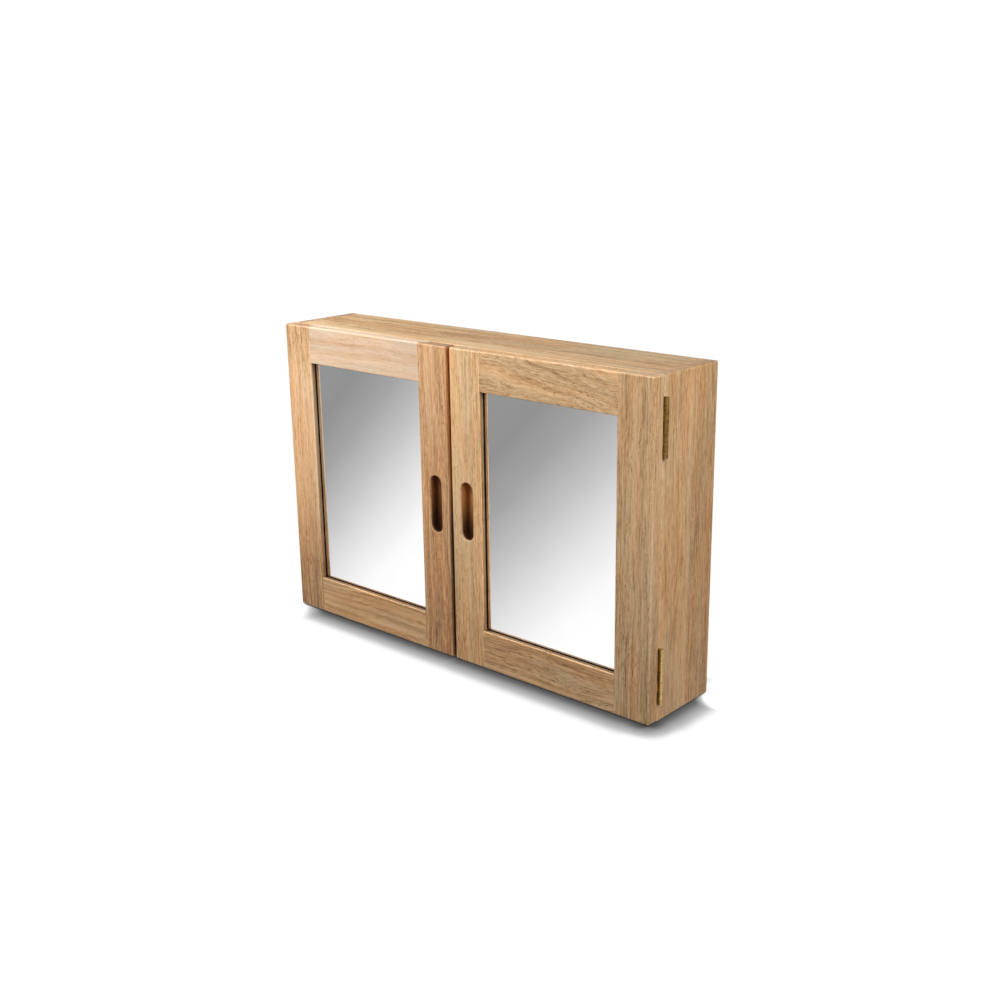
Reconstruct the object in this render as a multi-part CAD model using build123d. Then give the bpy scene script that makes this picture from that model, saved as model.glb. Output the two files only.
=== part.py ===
from build123d import *
from math import cos, radians
import os

# A wall cabinet for a bathroom, in oiled hardwood, with two mirror doors.
# Units are millimetres. X runs to the right seen from the front, Y to the wall, Z up.
# The origin is under the middle of the cabinet, on the plane that it stands on.
# Pieces that come in pairs are modelled on the right and mirrored for the left.

# Overall size
cabinet_width = 571.5  # over the two side boards
cabinet_height = 381.0
cabinet_depth = 114.3  # from the front of the doors to the wall

# Boards of the case
board_thickness = 12.7
shelf_thickness = 9.5
shelf_underside = 186.0  # height of the shelf's lower face above the base
shelf_setback = 14.0  # from the case's front edge to the shelf's front edge
shelf_round = 1.0
back_panel_thickness = 4.0
back_rabbet_width = 6.35
housing_depth = 6.35  # how far a housing is cut into a side board
tongue_thickness = 6.0
housing_stop = 10.0  # solid wood left between a housing and the front edge
rail_thickness = 12.0  # hanging rail, behind the top board
rail_height = 44.0
wall_hole_spacing = 406.4  # 16 inches, from stud to stud
wall_hole_diameter = 5.0
wall_countersink_diameter = 10.0

# Edges of the boards
corner_round = 2.0  # the corners of the cabinet's outline
front_round = 2.0  # edges that a hand meets
seam_ease = 0.8  # chamfer of the edges that meet another board or the wall
sight_round = 1.0  # edges round the mirrors

# Doors
door_thickness = 16.0
seam = 0.6  # air between the doors and the case
door_gap = 4.0  # air between the two doors
door_floor_gap = 0.8  # the doors hang this far above the base
stile_width = 46.0
top_rail_width = 46.0
bottom_rail_width = 47.0
lip_thickness = 6.0  # wood in front of the mirror
door_rabbet_width = 7.0
tenon_thickness = 5.0
tenon_length = 18.0  # beyond the rail's rear shoulder
tenon_haunch = 8.0  # from the tenon to the outer edge of the rail

# Finger pulls, one in each meeting stile
pull_length = 70.0
pull_width = 19.0
pull_depth = 10.0
pull_mouth_ease = 0.8

# Mirrors and what holds them
mirror_thickness = 3.0
backing_thickness = 3.0
pane_clearance = 1.0  # from the mirror's edge to the rabbet
bead_width = 6.3
bead_round = 2.4
bead_clearance = 0.2
bead_pin_diameter = 1.2
bead_pin_length = 13.0
bead_pin_share = 0.22  # a pin's place along its bead, from either end

# Butt hinges with rolled knuckles
hinge_length = 63.5
hinge_inset = 22.3  # from the ends of the case to a hinge
hinge_knuckles = 5
hinge_leaf_thickness = 1.2
hinge_leaf_width = 11.0  # the part that lies in the wood
hinge_pin_diameter = 2.6
hinge_pin_play = 0.05  # radial, between pin and knuckle
hinge_pin_stand = 0.3  # how far the pin's ends stand out
knuckle_gap = 0.25  # along the pin, between two knuckles
barrel_clearance = 0.3  # between the barrel and the wood
barrel_sides = 16  # the rolled knuckles have flat sides
bore_sides = 12
roll_slit = 0.25  # where the rolled end of a leaf comes back to it
leaf_notch = 0.6  # a leaf's cut behind the other leaf's knuckles
mortise_clearance = 0.1
screws_per_leaf = 3
screw_end_distance = 9.0  # from a leaf's end to its first screw
screw_edge_distance = 5.4  # from the cabinet's side to the screws

# Countersunk wood screws of the hinges
hinge_screw_head = 4.8
hinge_screw_shank = 2.4
hinge_screw_length = 11.0

# Magnetic catches, under the top board
catch_length = 45.0
catch_body_length = 29.0
catch_height = 12.0
catch_depth = 13.0
catch_flange_thickness = 2.5
catch_corner = 3.0  # what is cut off the corners of the flange
catch_ease = 0.8
catch_slot_width = 3.2
catch_slot_length = 5.2
catch_screw_spacing = 36.0
catch_air = 0.3  # between the pole plates and the strike plate
magnet_length = 22.0
magnet_height = 5.0
magnet_depth = 9.0
pole_plate_thickness = 1.2
pole_plate_depth = 11.0
pole_stand = 0.6  # how far the pole plates stand out of the housing
catch_screw_head = 5.4
catch_screw_head_height = 1.8
catch_screw_shank = 2.6
catch_screw_length = 8.5
strike_length = 30.0
strike_height = 11.5
strike_thickness = 1.0
strike_corner = 1.5
strike_screw_head = 5.6
strike_screw_shank = 2.8
strike_screw_length = 9.0

# Small nails that hold the back panel
panel_pin_diameter = 1.4
panel_pin_head = 3.0
panel_pin_head_height = 0.8
panel_pin_length = 15.0
panel_pin_side_shares = (0.25, 0.75)  # of the cabinet's height, clear of the shelf
panel_pin_level_shares = (-0.6, 0, 0.6)  # of the half width inside

# Fits of small metal pieces
pilot_clearance = 0.05  # radial, round nails and screws
glue_room = 0.6  # at the end of a mortise
screw_sides = 8  # small fasteners are cut with flat sides
peg_sides = 6
point_height = 1.5
tip_share = 0.3  # of the shank's diameter
crown_share = 0.33  # how much of a raised head's height its sloping rim takes
past = 1.0  # how far a cutting block reaches past the wood

# Planes that several pieces share
half_width = cabinet_width / 2
inner_half_width = half_width - board_thickness
door_front_y = -cabinet_depth / 2
door_back_y = door_front_y + door_thickness
case_front_y = door_back_y + seam
wall_y = cabinet_depth / 2
panel_front_y = wall_y - back_panel_thickness
top_underside_z = cabinet_height - board_thickness
housed_half_width = inner_half_width + housing_depth

door_inner_x = door_gap / 2
sight_inner_x = door_inner_x + stile_width
sight_outer_x = half_width - stile_width
sight_low_z = door_floor_gap + bottom_rail_width
sight_high_z = cabinet_height - top_rail_width
lip_back_y = door_front_y + lip_thickness
mirror_back_y = lip_back_y + mirror_thickness
backing_back_y = mirror_back_y + backing_thickness
pull_x = door_inner_x + stile_width / 2
pull_z = cabinet_height / 2

barrel_radius = hinge_pin_diameter / 2 + hinge_pin_play + hinge_leaf_thickness
hinge_x = half_width + barrel_clearance + barrel_radius
hinge_y = door_back_y + seam / 2
hinge_low_z = {"lower": hinge_inset, "upper": cabinet_height - hinge_inset - hinge_length}
hinge_screw_x = half_width - screw_edge_distance

rail_front_y = panel_front_y - rail_thickness
wall_hole_z = top_underside_z - rail_height / 2

catch_x = pull_x
catch_z = top_underside_z - catch_flange_thickness - (catch_height - catch_flange_thickness) / 2
pole_front_y = door_back_y + strike_thickness + catch_air
catch_front_y = pole_front_y + pole_stand


def block(x_range, y_range, z_range):
    """A box between two values on each axis."""
    size = [high - low for low, high in (x_range, y_range, z_range)]
    middle = [(high + low) / 2 for low, high in (x_range, y_range, z_range)]
    return Pos(*middle) * Box(*size)


def edges_at(part, **place):
    """The edges whose middle lies at the given X, Y or Z."""
    return ShapeList(
        edge
        for edge in part.edges()
        if all(abs(getattr(edge.center(), axis) - value) < 0.01 for axis, value in place.items())
    )


def outline_edges(part, plane_y, skip_x=None):
    """The edges of the face in the plane Y, without those that run along X = skip_x."""
    face = min(part.faces(), key=lambda f: abs(f.center().Y - plane_y) + abs(abs(f.normal_at().Y) - 1))
    return ShapeList(
        edge
        for edge in face.edges()
        if skip_x is None or abs(edge.center().X - skip_x) > 0.01
    )


def placed_on(side, part):
    """A piece modelled on the right, as it stands on that side."""
    return part if side == "right" else mirror(part, about=Plane.YZ)


def both_sides(part):
    """A piece modelled on the right, with its mirror image on the left."""
    return part + mirror(part, about=Plane.YZ)


def turned_body(sides, *rings):
    """A body along Z through rings of a radius at a height, from the lowest up.

    Its surface has flat sides, as many as given, so that small fasteners stay light.
    """
    wires = []
    for radius, height in rings:
        corners = Pos(0, 0, height) * RegularPolygon(radius, sides)
        wires.append([tuple(corner) for corner in corners.vertices()])
    faces = [Face(Wire.make_polygon(wires[0])), Face(Wire.make_polygon(wires[-1]))]
    for low, high in zip(wires, wires[1:]):
        for here, after in zip(range(sides), [*range(1, sides), 0]):
            faces.append(Face(Wire.make_polygon([low[here], low[after], high[after], high[here]])))
    return Part() + Solid(Shell(faces))


def wood_screw(head, shank, length, head_height):
    """A countersunk screw along -Z, its head flush with Z = 0."""
    return turned_body(
        screw_sides,
        (shank * tip_share / 2, -length),
        (shank / 2, point_height - length),
        (shank / 2, -head_height),
        (head / 2, 0),
    )


def countersink(head, shank, head_height, depth):
    """The hole that takes a countersunk screw along -Z, from Z = 0."""
    inner, outer = shank / 2 + pilot_clearance, head / 2 + pilot_clearance
    return turned_body(screw_sides, (inner, -depth), (inner, -head_height), (outer, 0))


def nail(head, shank, length, head_height):
    """A nail along -Z with a flat head, flush with Z = 0."""
    return turned_body(peg_sides, (head / 2, -head_height), (head / 2, 0)) + peg(shank, length)


def peg(diameter, length):
    """A pin along -Z without a head, pointed at its far end."""
    radius = diameter / 2
    return turned_body(peg_sides, (radius * tip_share, -length), (radius, point_height - length), (radius, 0))


def peg_hole(diameter, length):
    """The hole that takes such a pin, from Z = 0."""
    radius = diameter / 2 + pilot_clearance
    return turned_body(peg_sides, (radius, -length), (radius, 0))


def nail_hole(head, shank, length, head_height):
    """The hole that takes a nail along -Z, from Z = 0."""
    radius = head / 2 + pilot_clearance
    return turned_body(peg_sides, (radius, -head_height), (radius, 0)) + peg_hole(shank, length)


# Turns that point a piece made along -Z the other way
towards_wall = Rot(90, 0, 0)
towards_door_front = Rot(-90, 0, 0)
upwards = Rot(180, 0, 0)


def hinge_screw_places():
    """The height of each hinge screw on one side of the cabinet."""
    pitch = (hinge_length - 2 * screw_end_distance) / (screws_per_leaf - 1)
    for low in hinge_low_z.values():
        for number in range(screws_per_leaf):
            yield low + screw_end_distance + number * pitch


def hinge_screws(face_y, turn):
    """The screws of one side's leaves that enter the wood at Y = face_y."""
    screw = wood_screw(hinge_screw_head, hinge_screw_shank, hinge_screw_length, hinge_leaf_thickness)
    return Part() + [Pos(hinge_screw_x, face_y, z) * turn * screw for z in hinge_screw_places()]


def hinge_screw_holes(face_y, turn):
    """What the same screws take out of the leaves and the wood."""
    hole = countersink(hinge_screw_head, hinge_screw_shank, hinge_leaf_thickness, hinge_screw_length)
    return Part() + [Pos(hinge_screw_x, face_y, z) * turn * hole for z in hinge_screw_places()]


def leaf_mortises(face_y, direction):
    """The shallow recesses that the leaves of one side lie in, cut from Y = face_y."""
    depth_range = sorted((face_y, face_y + direction * hinge_leaf_thickness))
    x_range = (half_width - hinge_leaf_width - mortise_clearance, half_width + past)
    return Part() + [
        block(x_range, depth_range, (low - mortise_clearance, low + hinge_length + mortise_clearance))
        for low in hinge_low_z.values()
    ]


def panel_pin_places():
    """Where the nails of the back panel stand, as X and Z."""
    side_x = inner_half_width + back_rabbet_width / 2
    board_z = board_thickness - back_rabbet_width / 2
    for side in (-1, 1):
        for share in panel_pin_side_shares:
            yield side * side_x, share * cabinet_height
    for share in panel_pin_level_shares:
        for z in (board_z, cabinet_height - board_z):
            yield share * inner_half_width, z


def panel_pin_holes():
    """The holes of the back panel's nails."""
    hole = nail_hole(panel_pin_head, panel_pin_diameter, panel_pin_length, panel_pin_head_height)
    return Part() + [Pos(x, wall_y, z) * towards_door_front * hole for x, z in panel_pin_places()]


def catch_screw_places():
    """Where the screws of the right-hand catch stand, along X."""
    for side in (-1, 1):
        yield catch_x + side * catch_screw_spacing / 2


def catch_middle_y():
    """The middle of a catch's depth."""
    return catch_front_y + catch_depth / 2


def back_recess():
    """The rabbet that the back panel lies in."""
    reach = inner_half_width + back_rabbet_width
    low = board_thickness - back_rabbet_width
    return block((-reach, reach), (panel_front_y, wall_y + past), (low, cabinet_height - low))


def make_side_board():
    """The right-hand side board, the full height of the cabinet."""
    board = block((inner_half_width, half_width), (case_front_y, wall_y), (0, cabinet_height))
    for z in (0, cabinet_height):
        board = fillet(edges_at(board, X=half_width, Z=z), corner_round)
    board = chamfer(outline_edges(board, case_front_y, inner_half_width), seam_ease)
    board = chamfer(outline_edges(board, wall_y, inner_half_width), seam_ease)
    inside = (inner_half_width - past, housed_half_width)
    tongue_run = (case_front_y + housing_stop, panel_front_y)
    board -= block(inside, tongue_run, (board_thickness - tongue_thickness, board_thickness))
    board -= block(inside, tongue_run, (top_underside_z, top_underside_z + tongue_thickness))
    shelf_run = (case_front_y + shelf_setback, panel_front_y)
    board -= block(inside, shelf_run, (shelf_underside, shelf_underside + shelf_thickness))
    board -= back_recess()
    board -= leaf_mortises(case_front_y, 1)
    board -= hinge_screw_holes(case_front_y, towards_wall)
    return board - panel_pin_holes()


def make_level_board(underside, tongue_low):
    """A board between the sides, with a bare-faced tongue at each end."""
    z_range = (underside, underside + board_thickness)
    board = block((-inner_half_width, inner_half_width), (case_front_y, wall_y), z_range)
    outer_z = 0 if underside == 0 else cabinet_height
    for y in (case_front_y, wall_y):
        board = chamfer(edges_at(board, Y=y, Z=outer_z), seam_ease)
    reach = housed_half_width - pilot_clearance
    board += block(
        (-reach, reach),
        (case_front_y + housing_stop, panel_front_y),
        (tongue_low, tongue_low + tongue_thickness),
    )
    return board - back_recess() - panel_pin_holes()


def make_top_board():
    """The top board, with the pilot holes of the catches in its underside."""
    board = make_level_board(top_underside_z, top_underside_z)
    hole = peg_hole(catch_screw_shank, catch_screw_length)
    for x in catch_screw_places():
        entry = Pos(x, catch_middle_y(), top_underside_z - catch_flange_thickness)
        board -= both_sides(entry * upwards * hole)
    return board


def make_shelf():
    """The fixed shelf, let into both side boards."""
    reach = housed_half_width - pilot_clearance
    front_y = case_front_y + shelf_setback
    z_range = (shelf_underside, shelf_underside + shelf_thickness)
    shelf = block((-reach, reach), (front_y, panel_front_y), z_range)
    for z in z_range:
        shelf = fillet(edges_at(shelf, Y=front_y, Z=z), shelf_round)
    return shelf


def wall_screw_holes():
    """The countersunk holes through the hanging rail and the back panel."""
    head_height = (wall_countersink_diameter - wall_hole_diameter) / 2
    depth = wall_y + past - rail_front_y
    hole = Pos(0, 0, -depth / 2) * Cylinder(wall_hole_diameter / 2, depth)
    hole += turned_body(
        barrel_sides,
        (wall_hole_diameter / 2, -head_height),
        (wall_countersink_diameter / 2, 0),
    )
    place = Pos(wall_hole_spacing / 2, rail_front_y, wall_hole_z)
    return both_sides(place * towards_wall * hole)


def make_hanging_rail():
    """The rail that the wall screws go through, under the top board."""
    z_range = (top_underside_z - rail_height, top_underside_z)
    rail = block((-inner_half_width, inner_half_width), (rail_front_y, panel_front_y), z_range)
    rail = fillet(edges_at(rail, Y=rail_front_y, Z=z_range[0]), front_round)
    return rail - wall_screw_holes()


def make_back_panel():
    """The thin panel in the rabbet at the back."""
    reach = inner_half_width + back_rabbet_width - pilot_clearance
    low = board_thickness - back_rabbet_width + pilot_clearance
    panel = block((-reach, reach), (panel_front_y, wall_y), (low, cabinet_height - low))
    return panel - panel_pin_holes() - wall_screw_holes()


def make_back_panel_pins():
    """The nails of the back panel."""
    pin = nail(panel_pin_head, panel_pin_diameter, panel_pin_length, panel_pin_head_height)
    return Part() + [Pos(x, wall_y, z) * towards_door_front * pin for x, z in panel_pin_places()]


def knuckle_span(low, number):
    """The height range of one knuckle of the hinge that starts at low."""
    pitch = hinge_length / hinge_knuckles
    bottom = low + number * pitch + (knuckle_gap / 2 if number > 0 else 0)
    top = low + (number + 1) * pitch - (knuckle_gap / 2 if number < hinge_knuckles - 1 else 0)
    return bottom, top


def make_hinge_leaf(low, direction, first_knuckle):
    """A leaf whose end is rolled into knuckles; direction is +1 for the case's leaf."""
    near, far = seam / 2, seam / 2 + hinge_leaf_thickness
    reach = hinge_leaf_width + barrel_clearance + barrel_radius
    plate = Pos(-reach / 2, direction * (near + far) / 2) * Rectangle(reach, hinge_leaf_thickness)
    bore_radius = (hinge_pin_diameter / 2 + hinge_pin_play) / cos(radians(180 / bore_sides))
    bore = RegularPolygon(bore_radius, bore_sides)
    barrel = RegularPolygon(barrel_radius, barrel_sides)
    slit_middle = direction * (near - roll_slit / 2)
    slit = Pos(-barrel_radius, slit_middle) * Rectangle(2 * hinge_leaf_thickness, roll_slit)
    leaf = extrude(plate + barrel - bore - slit, hinge_length)
    leaf = Pos(hinge_x, hinge_y, low) * leaf
    edge_x = half_width - leaf_notch
    for number in range(hinge_knuckles):
        if number % 2 != first_knuckle:
            bottom, top = knuckle_span(low, number)
            bottom -= knuckle_gap if number > 0 else past
            top += knuckle_gap if number < hinge_knuckles - 1 else past
            room = barrel_radius + past
            leaf -= block((edge_x, hinge_x + room), (hinge_y - room, hinge_y + room), (bottom, top))
    face_y = hinge_y + direction * near
    turn = towards_wall if direction > 0 else towards_door_front
    return leaf - hinge_screw_holes(face_y, turn)


def make_hinge_pin(low):
    """The pin of one hinge, standing a little out of the barrel at both ends."""
    pin = Cylinder(hinge_pin_diameter / 2, hinge_length + 2 * hinge_pin_stand)
    return Pos(hinge_x, hinge_y, low + hinge_length / 2) * pin


def make_catch_housing():
    """A catch's moulded housing, with slotted ears and a pocket for the magnet."""
    back_y = catch_front_y + catch_depth
    low = top_underside_z - catch_height
    flange_low = top_underside_z - catch_flange_thickness
    x_range = (catch_x - catch_length / 2, catch_x + catch_length / 2)
    flange = block(x_range, (catch_front_y, back_y), (flange_low, top_underside_z))
    for x in x_range:
        for y in (catch_front_y, back_y):
            flange = chamfer(edges_at(flange, X=x, Y=y), catch_corner)
    body_range = (catch_x - catch_body_length / 2, catch_x + catch_body_length / 2)
    body = block(body_range, (catch_front_y, back_y), (low, top_underside_z))
    body = chamfer(edges_at(body, Z=low), catch_ease)
    housing = flange + body
    for x in catch_screw_places():
        slot = extrude(SlotOverall(catch_slot_length, catch_slot_width, rotation=90), catch_height)
        housing -= Pos(x, catch_middle_y(), low) * slot
    pocket_half = magnet_length / 2
    pocket_height = magnet_height + 2 * pole_plate_thickness
    pocket_back = pole_front_y + pole_plate_depth
    pocket_z = (catch_z - pocket_height / 2, catch_z + pocket_height / 2)
    pocket_x = (catch_x - pocket_half, catch_x + pocket_half)
    return housing - block(pocket_x, (catch_front_y - past, pocket_back), pocket_z)


def make_catch_magnet():
    """The ceramic magnet between the pole plates."""
    back_y = pole_front_y + pole_plate_depth
    x_range = (catch_x - magnet_length / 2, catch_x + magnet_length / 2)
    z_range = (catch_z - magnet_height / 2, catch_z + magnet_height / 2)
    return block(x_range, (back_y - magnet_depth, back_y), z_range)


def make_catch_pole_plates():
    """The two steel plates that reach out to the strike plate."""
    x_range = (catch_x - magnet_length / 2, catch_x + magnet_length / 2)
    y_range = (pole_front_y, pole_front_y + pole_plate_depth)
    near, far = magnet_height / 2, magnet_height / 2 + pole_plate_thickness
    upper = block(x_range, y_range, (catch_z + near, catch_z + far))
    lower = block(x_range, y_range, (catch_z - far, catch_z - near))
    return upper + lower


def make_catch_screws():
    """The round-headed screws of both catches."""
    head_base = top_underside_z - catch_flange_thickness
    crown = catch_screw_head_height * crown_share
    head = turned_body(
        screw_sides,
        (catch_screw_head / 2, 0),
        (catch_screw_head / 2, catch_screw_head_height - crown),
        (catch_screw_head / 2 - crown, catch_screw_head_height),
    )
    screw = head + peg(catch_screw_shank, catch_screw_length)
    screws = Part()
    for x in catch_screw_places():
        screws += both_sides(Pos(x, catch_middle_y(), head_base) * upwards * screw)
    return screws


def make_strike_plate():
    """The steel plate on the door that the catch pulls on."""
    x_range = (catch_x - strike_length / 2, catch_x + strike_length / 2)
    z_range = (catch_z - strike_height / 2, catch_z + strike_height / 2)
    plate = block(x_range, (door_back_y, door_back_y + strike_thickness), z_range)
    for x in x_range:
        for z in z_range:
            plate = chamfer(edges_at(plate, X=x, Z=z), strike_corner)
    return plate - strike_screw_hole()


def strike_screw_hole():
    """What the screw of the strike plate takes out of the plate and the stile."""
    hole = countersink(strike_screw_head, strike_screw_shank, strike_thickness, strike_screw_length)
    return Pos(catch_x, door_back_y + strike_thickness, catch_z) * towards_door_front * hole


def make_strike_screw():
    """The countersunk screw of the strike plate."""
    screw = wood_screw(strike_screw_head, strike_screw_shank, strike_screw_length, strike_thickness)
    return Pos(catch_x, door_back_y + strike_thickness, catch_z) * towards_door_front * screw


def rounding_tool(length, radius):
    """What a round-over takes off an edge along +X, with the wood at +Y and +Z."""
    square = Pos(radius / 2, radius / 2) * Rectangle(radius, radius)
    waste = square - Pos(radius, radius) * Circle(radius)
    return extrude(Plane.YZ * waste, length)


def sight_edge_waste(side_x, inward):
    """The round-over of a stile's edge beside the mirror; inward is +1 if the wood is at +X."""
    tool = rounding_tool(sight_high_z - sight_low_z, sight_round)
    upright = Pos(0, 0, sight_low_z) * Rot(0, -90, 0) * tool
    upright = upright if inward > 0 else mirror(upright, about=Plane.YZ)
    return Pos(side_x, door_front_y, 0) * upright


def mortise(rail_z_range, sight_x, direction):
    """The slot in a stile that takes a rail's tenon; direction is +1 if the stile is at +X."""
    near = sight_x + direction * door_rabbet_width
    far = near + direction * (tenon_length + glue_room)
    return block(sorted((sight_x, far)), (lip_back_y, lip_back_y + tenon_thickness), rail_z_range)


def tenon_spans():
    """The height ranges of the bottom and the top rail's tenons."""
    low_rail = (door_floor_gap + tenon_haunch, sight_low_z - door_rabbet_width)
    high_rail = (sight_high_z + door_rabbet_width, cabinet_height - tenon_haunch)
    return low_rail, high_rail


def make_stile(inner_x, outer_x, sight_x):
    """An upright of the right-hand door, between inner_x and outer_x."""
    z_range = (door_floor_gap, cabinet_height)
    stile = block((inner_x, outer_x), (door_front_y, door_back_y), z_range)
    free_x = outer_x if sight_x == inner_x else inner_x
    for z in z_range:
        stile = fillet(edges_at(stile, X=free_x, Z=z), corner_round)
    stile = fillet(outline_edges(stile, door_front_y, sight_x), front_round)
    stile = chamfer(outline_edges(stile, door_back_y, sight_x), seam_ease)
    direction = 1 if sight_x == inner_x else -1
    rabbet_x = sorted((sight_x - direction * past, sight_x + direction * door_rabbet_width))
    stile -= block(rabbet_x, (lip_back_y, door_back_y + past), (z_range[0] - past, z_range[1] + past))
    for span in tenon_spans():
        stile -= mortise(span, sight_x, direction)
    return stile - sight_edge_waste(sight_x, direction)


def pull_recess():
    """The stadium-shaped recess for the fingers, flat at its floor and eased at its mouth."""
    recess = extrude(SlotOverall(pull_length, pull_width, rotation=90), pull_depth)
    flare = SlotOverall(pull_length + 2 * pull_mouth_ease, pull_width + 2 * pull_mouth_ease, rotation=90)
    mouth = extrude(Pos(0, 0, pull_depth) * flare, -pull_mouth_ease, taper=45)
    return Pos(pull_x, door_front_y + pull_depth, pull_z) * Rot(90, 0, 0) * (recess + mouth)


def make_hinge_stile():
    """The outer upright of the right-hand door, which carries the hinges."""
    stile = make_stile(sight_outer_x, half_width, sight_outer_x)
    stile -= leaf_mortises(door_back_y, -1)
    stile -= hinge_screw_holes(door_back_y, towards_door_front)
    return stile - bead_pin_holes()


def make_meeting_stile():
    """The upright at the middle of the cabinet, with the finger pull."""
    stile = make_stile(door_inner_x, sight_inner_x, sight_inner_x)
    stile -= pull_recess()
    stile -= strike_screw_hole()
    return stile - bead_pin_holes()


def make_rail(sight_z, outer_z, tenon_span):
    """A rail of the right-hand door, with long and short shoulders and stub tenons."""
    outward = 1 if outer_z > sight_z else -1
    front_range = sorted((sight_z, outer_z))
    rear_range = sorted((sight_z + outward * door_rabbet_width, outer_z))
    front_x = (sight_inner_x, sight_outer_x)
    rear_x = (sight_inner_x - door_rabbet_width, sight_outer_x + door_rabbet_width)
    tenon_x = (rear_x[0] - tenon_length, rear_x[1] + tenon_length)
    front = block(front_x, (door_front_y, lip_back_y), front_range)
    front = fillet(edges_at(front, Y=door_front_y, Z=outer_z), front_round)
    front = fillet(edges_at(front, Y=door_front_y, Z=sight_z), sight_round)
    rear = block(rear_x, (lip_back_y, door_back_y), rear_range)
    rear = chamfer(edges_at(rear, Y=door_back_y, Z=outer_z), seam_ease)
    tenon = block(tenon_x, (lip_back_y, lip_back_y + tenon_thickness), tenon_span)
    return front + rear + tenon - bead_pin_holes() - strike_screw_hole()


def pane(y_range):
    """A sheet that lies in the rabbet of the right-hand door."""
    margin = door_rabbet_width - pane_clearance
    x_range = (sight_inner_x - margin, sight_outer_x + margin)
    return block(x_range, y_range, (sight_low_z - margin, sight_high_z + margin))


def bead_outline():
    """The outer corner values of the retaining beads: low X, high X, low Z, high Z."""
    margin = door_rabbet_width - bead_clearance
    return sight_inner_x - margin, sight_outer_x + margin, sight_low_z - margin, sight_high_z + margin


def make_bead(place):
    """One of the four mitred beads that hold a mirror in its rabbet."""
    low_x, high_x, low_z, high_z = bead_outline()
    outer = {
        "bottom": ((low_x, low_z), (high_x, low_z)),
        "top": ((high_x, high_z), (low_x, high_z)),
        "hinge_side": ((high_x, low_z), (high_x, high_z)),
        "meeting_side": ((low_x, high_z), (low_x, low_z)),
    }[place]
    middle_x, middle_z = (low_x + high_x) / 2, (low_z + high_z) / 2
    inner = [
        (x + (bead_width if x < middle_x else -bead_width), z + (bead_width if z < middle_z else -bead_width))
        for x, z in reversed(outer)
    ]
    plan = make_face(Polyline(*outer, *inner, close=True))
    bead = extrude(Plane.XZ.offset(-door_back_y) * plan, door_back_y - backing_back_y)
    inner_x, inner_z = (inner[0][0] + inner[1][0]) / 2, (inner[0][1] + inner[1][1]) / 2
    bead = fillet(edges_at(bead, X=inner_x, Y=door_back_y, Z=inner_z), bead_round)
    return bead - bead_pin_holes()


def bead_pin_places():
    """Each bead pin's place and the turn that points it into the frame."""
    low_x, high_x, low_z, high_z = bead_outline()
    y = backing_back_y + (door_back_y - backing_back_y - bead_round) / 2
    for share in (bead_pin_share, 1 - bead_pin_share):
        x = low_x + share * (high_x - low_x)
        z = low_z + share * (high_z - low_z)
        yield Pos(x, y, low_z + bead_width)
        yield Pos(x, y, high_z - bead_width) * Rot(180, 0, 0)
        yield Pos(low_x + bead_width, y, z) * Rot(0, 90, 0)
        yield Pos(high_x - bead_width, y, z) * Rot(0, -90, 0)


def bead_pin_holes():
    """What the bead pins take out of the beads and the frame."""
    hole = peg_hole(bead_pin_diameter, bead_pin_length)
    return Part() + [place * hole for place in bead_pin_places()]


def make_bead_pins():
    """The headless pins of one door's beads."""
    pin = peg(bead_pin_diameter, bead_pin_length)
    return Part() + [place * pin for place in bead_pin_places()]


def case_pieces():
    """The pieces of the case, by name."""
    yield "top_board", make_top_board()
    yield "bottom_board", make_level_board(0, board_thickness - tongue_thickness)
    yield "shelf", make_shelf()
    yield "back_panel", make_back_panel()
    yield "back_panel_pins", make_back_panel_pins()
    yield "hanging_rail", make_hanging_rail()
    yield "cabinet_hinge_screws", both_sides(hinge_screws(case_front_y, towards_wall))
    yield "catch_screws", make_catch_screws()
    for side in ("left", "right"):
        yield f"side_board_{side}", placed_on(side, make_side_board())
        yield f"catch_housing_{side}", placed_on(side, make_catch_housing())
        yield f"catch_magnet_{side}", placed_on(side, make_catch_magnet())
        yield f"catch_pole_plates_{side}", placed_on(side, make_catch_pole_plates())
        for level, low in hinge_low_z.items():
            yield f"hinge_cabinet_leaf_{side}_{level}", placed_on(side, make_hinge_leaf(low, 1, 0))
            yield f"hinge_pin_{side}_{level}", placed_on(side, make_hinge_pin(low))


def door_pieces():
    """The pieces of the right-hand door, by name."""
    low_span, high_span = tenon_spans()
    yield "hinge_stile", make_hinge_stile()
    yield "meeting_stile", make_meeting_stile()
    yield "bottom_rail", make_rail(sight_low_z, door_floor_gap, low_span)
    yield "top_rail", make_rail(sight_high_z, cabinet_height, high_span)
    yield "mirror", pane((lip_back_y, mirror_back_y))
    yield "mirror_backing", pane((mirror_back_y, backing_back_y))
    for place in ("bottom", "top", "hinge_side", "meeting_side"):
        yield f"bead_{place}", make_bead(place)
    yield "bead_pins", make_bead_pins()
    yield "strike_plate", make_strike_plate()
    yield "strike_screw", make_strike_screw()
    yield "hinge_screws", hinge_screws(door_back_y, towards_door_front)
    for level, low in hinge_low_z.items():
        yield f"hinge_leaf_{level}", make_hinge_leaf(low, -1, 1)


def write_parts():
    """Writes every piece to its own file."""
    os.makedirs("parts", exist_ok=True)
    for name, piece in case_pieces():
        export_step(piece, f"parts/{name}.step")
    for name, piece in door_pieces():
        for side in ("left", "right"):
            export_step(placed_on(side, piece), f"parts/{side}_door_{name}.step")


write_parts()
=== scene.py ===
"""The looks of a wooden mirror cabinet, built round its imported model.

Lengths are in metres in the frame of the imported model: X to the right seen from the front,
Y to the wall, Z up. Finishes measure their grain in millimetres.
"""

import logging
import math
from collections.abc import Iterable, Sequence
from dataclasses import dataclass
from enum import Enum

import bmesh
import bpy
from mathutils import Matrix, Vector


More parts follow.
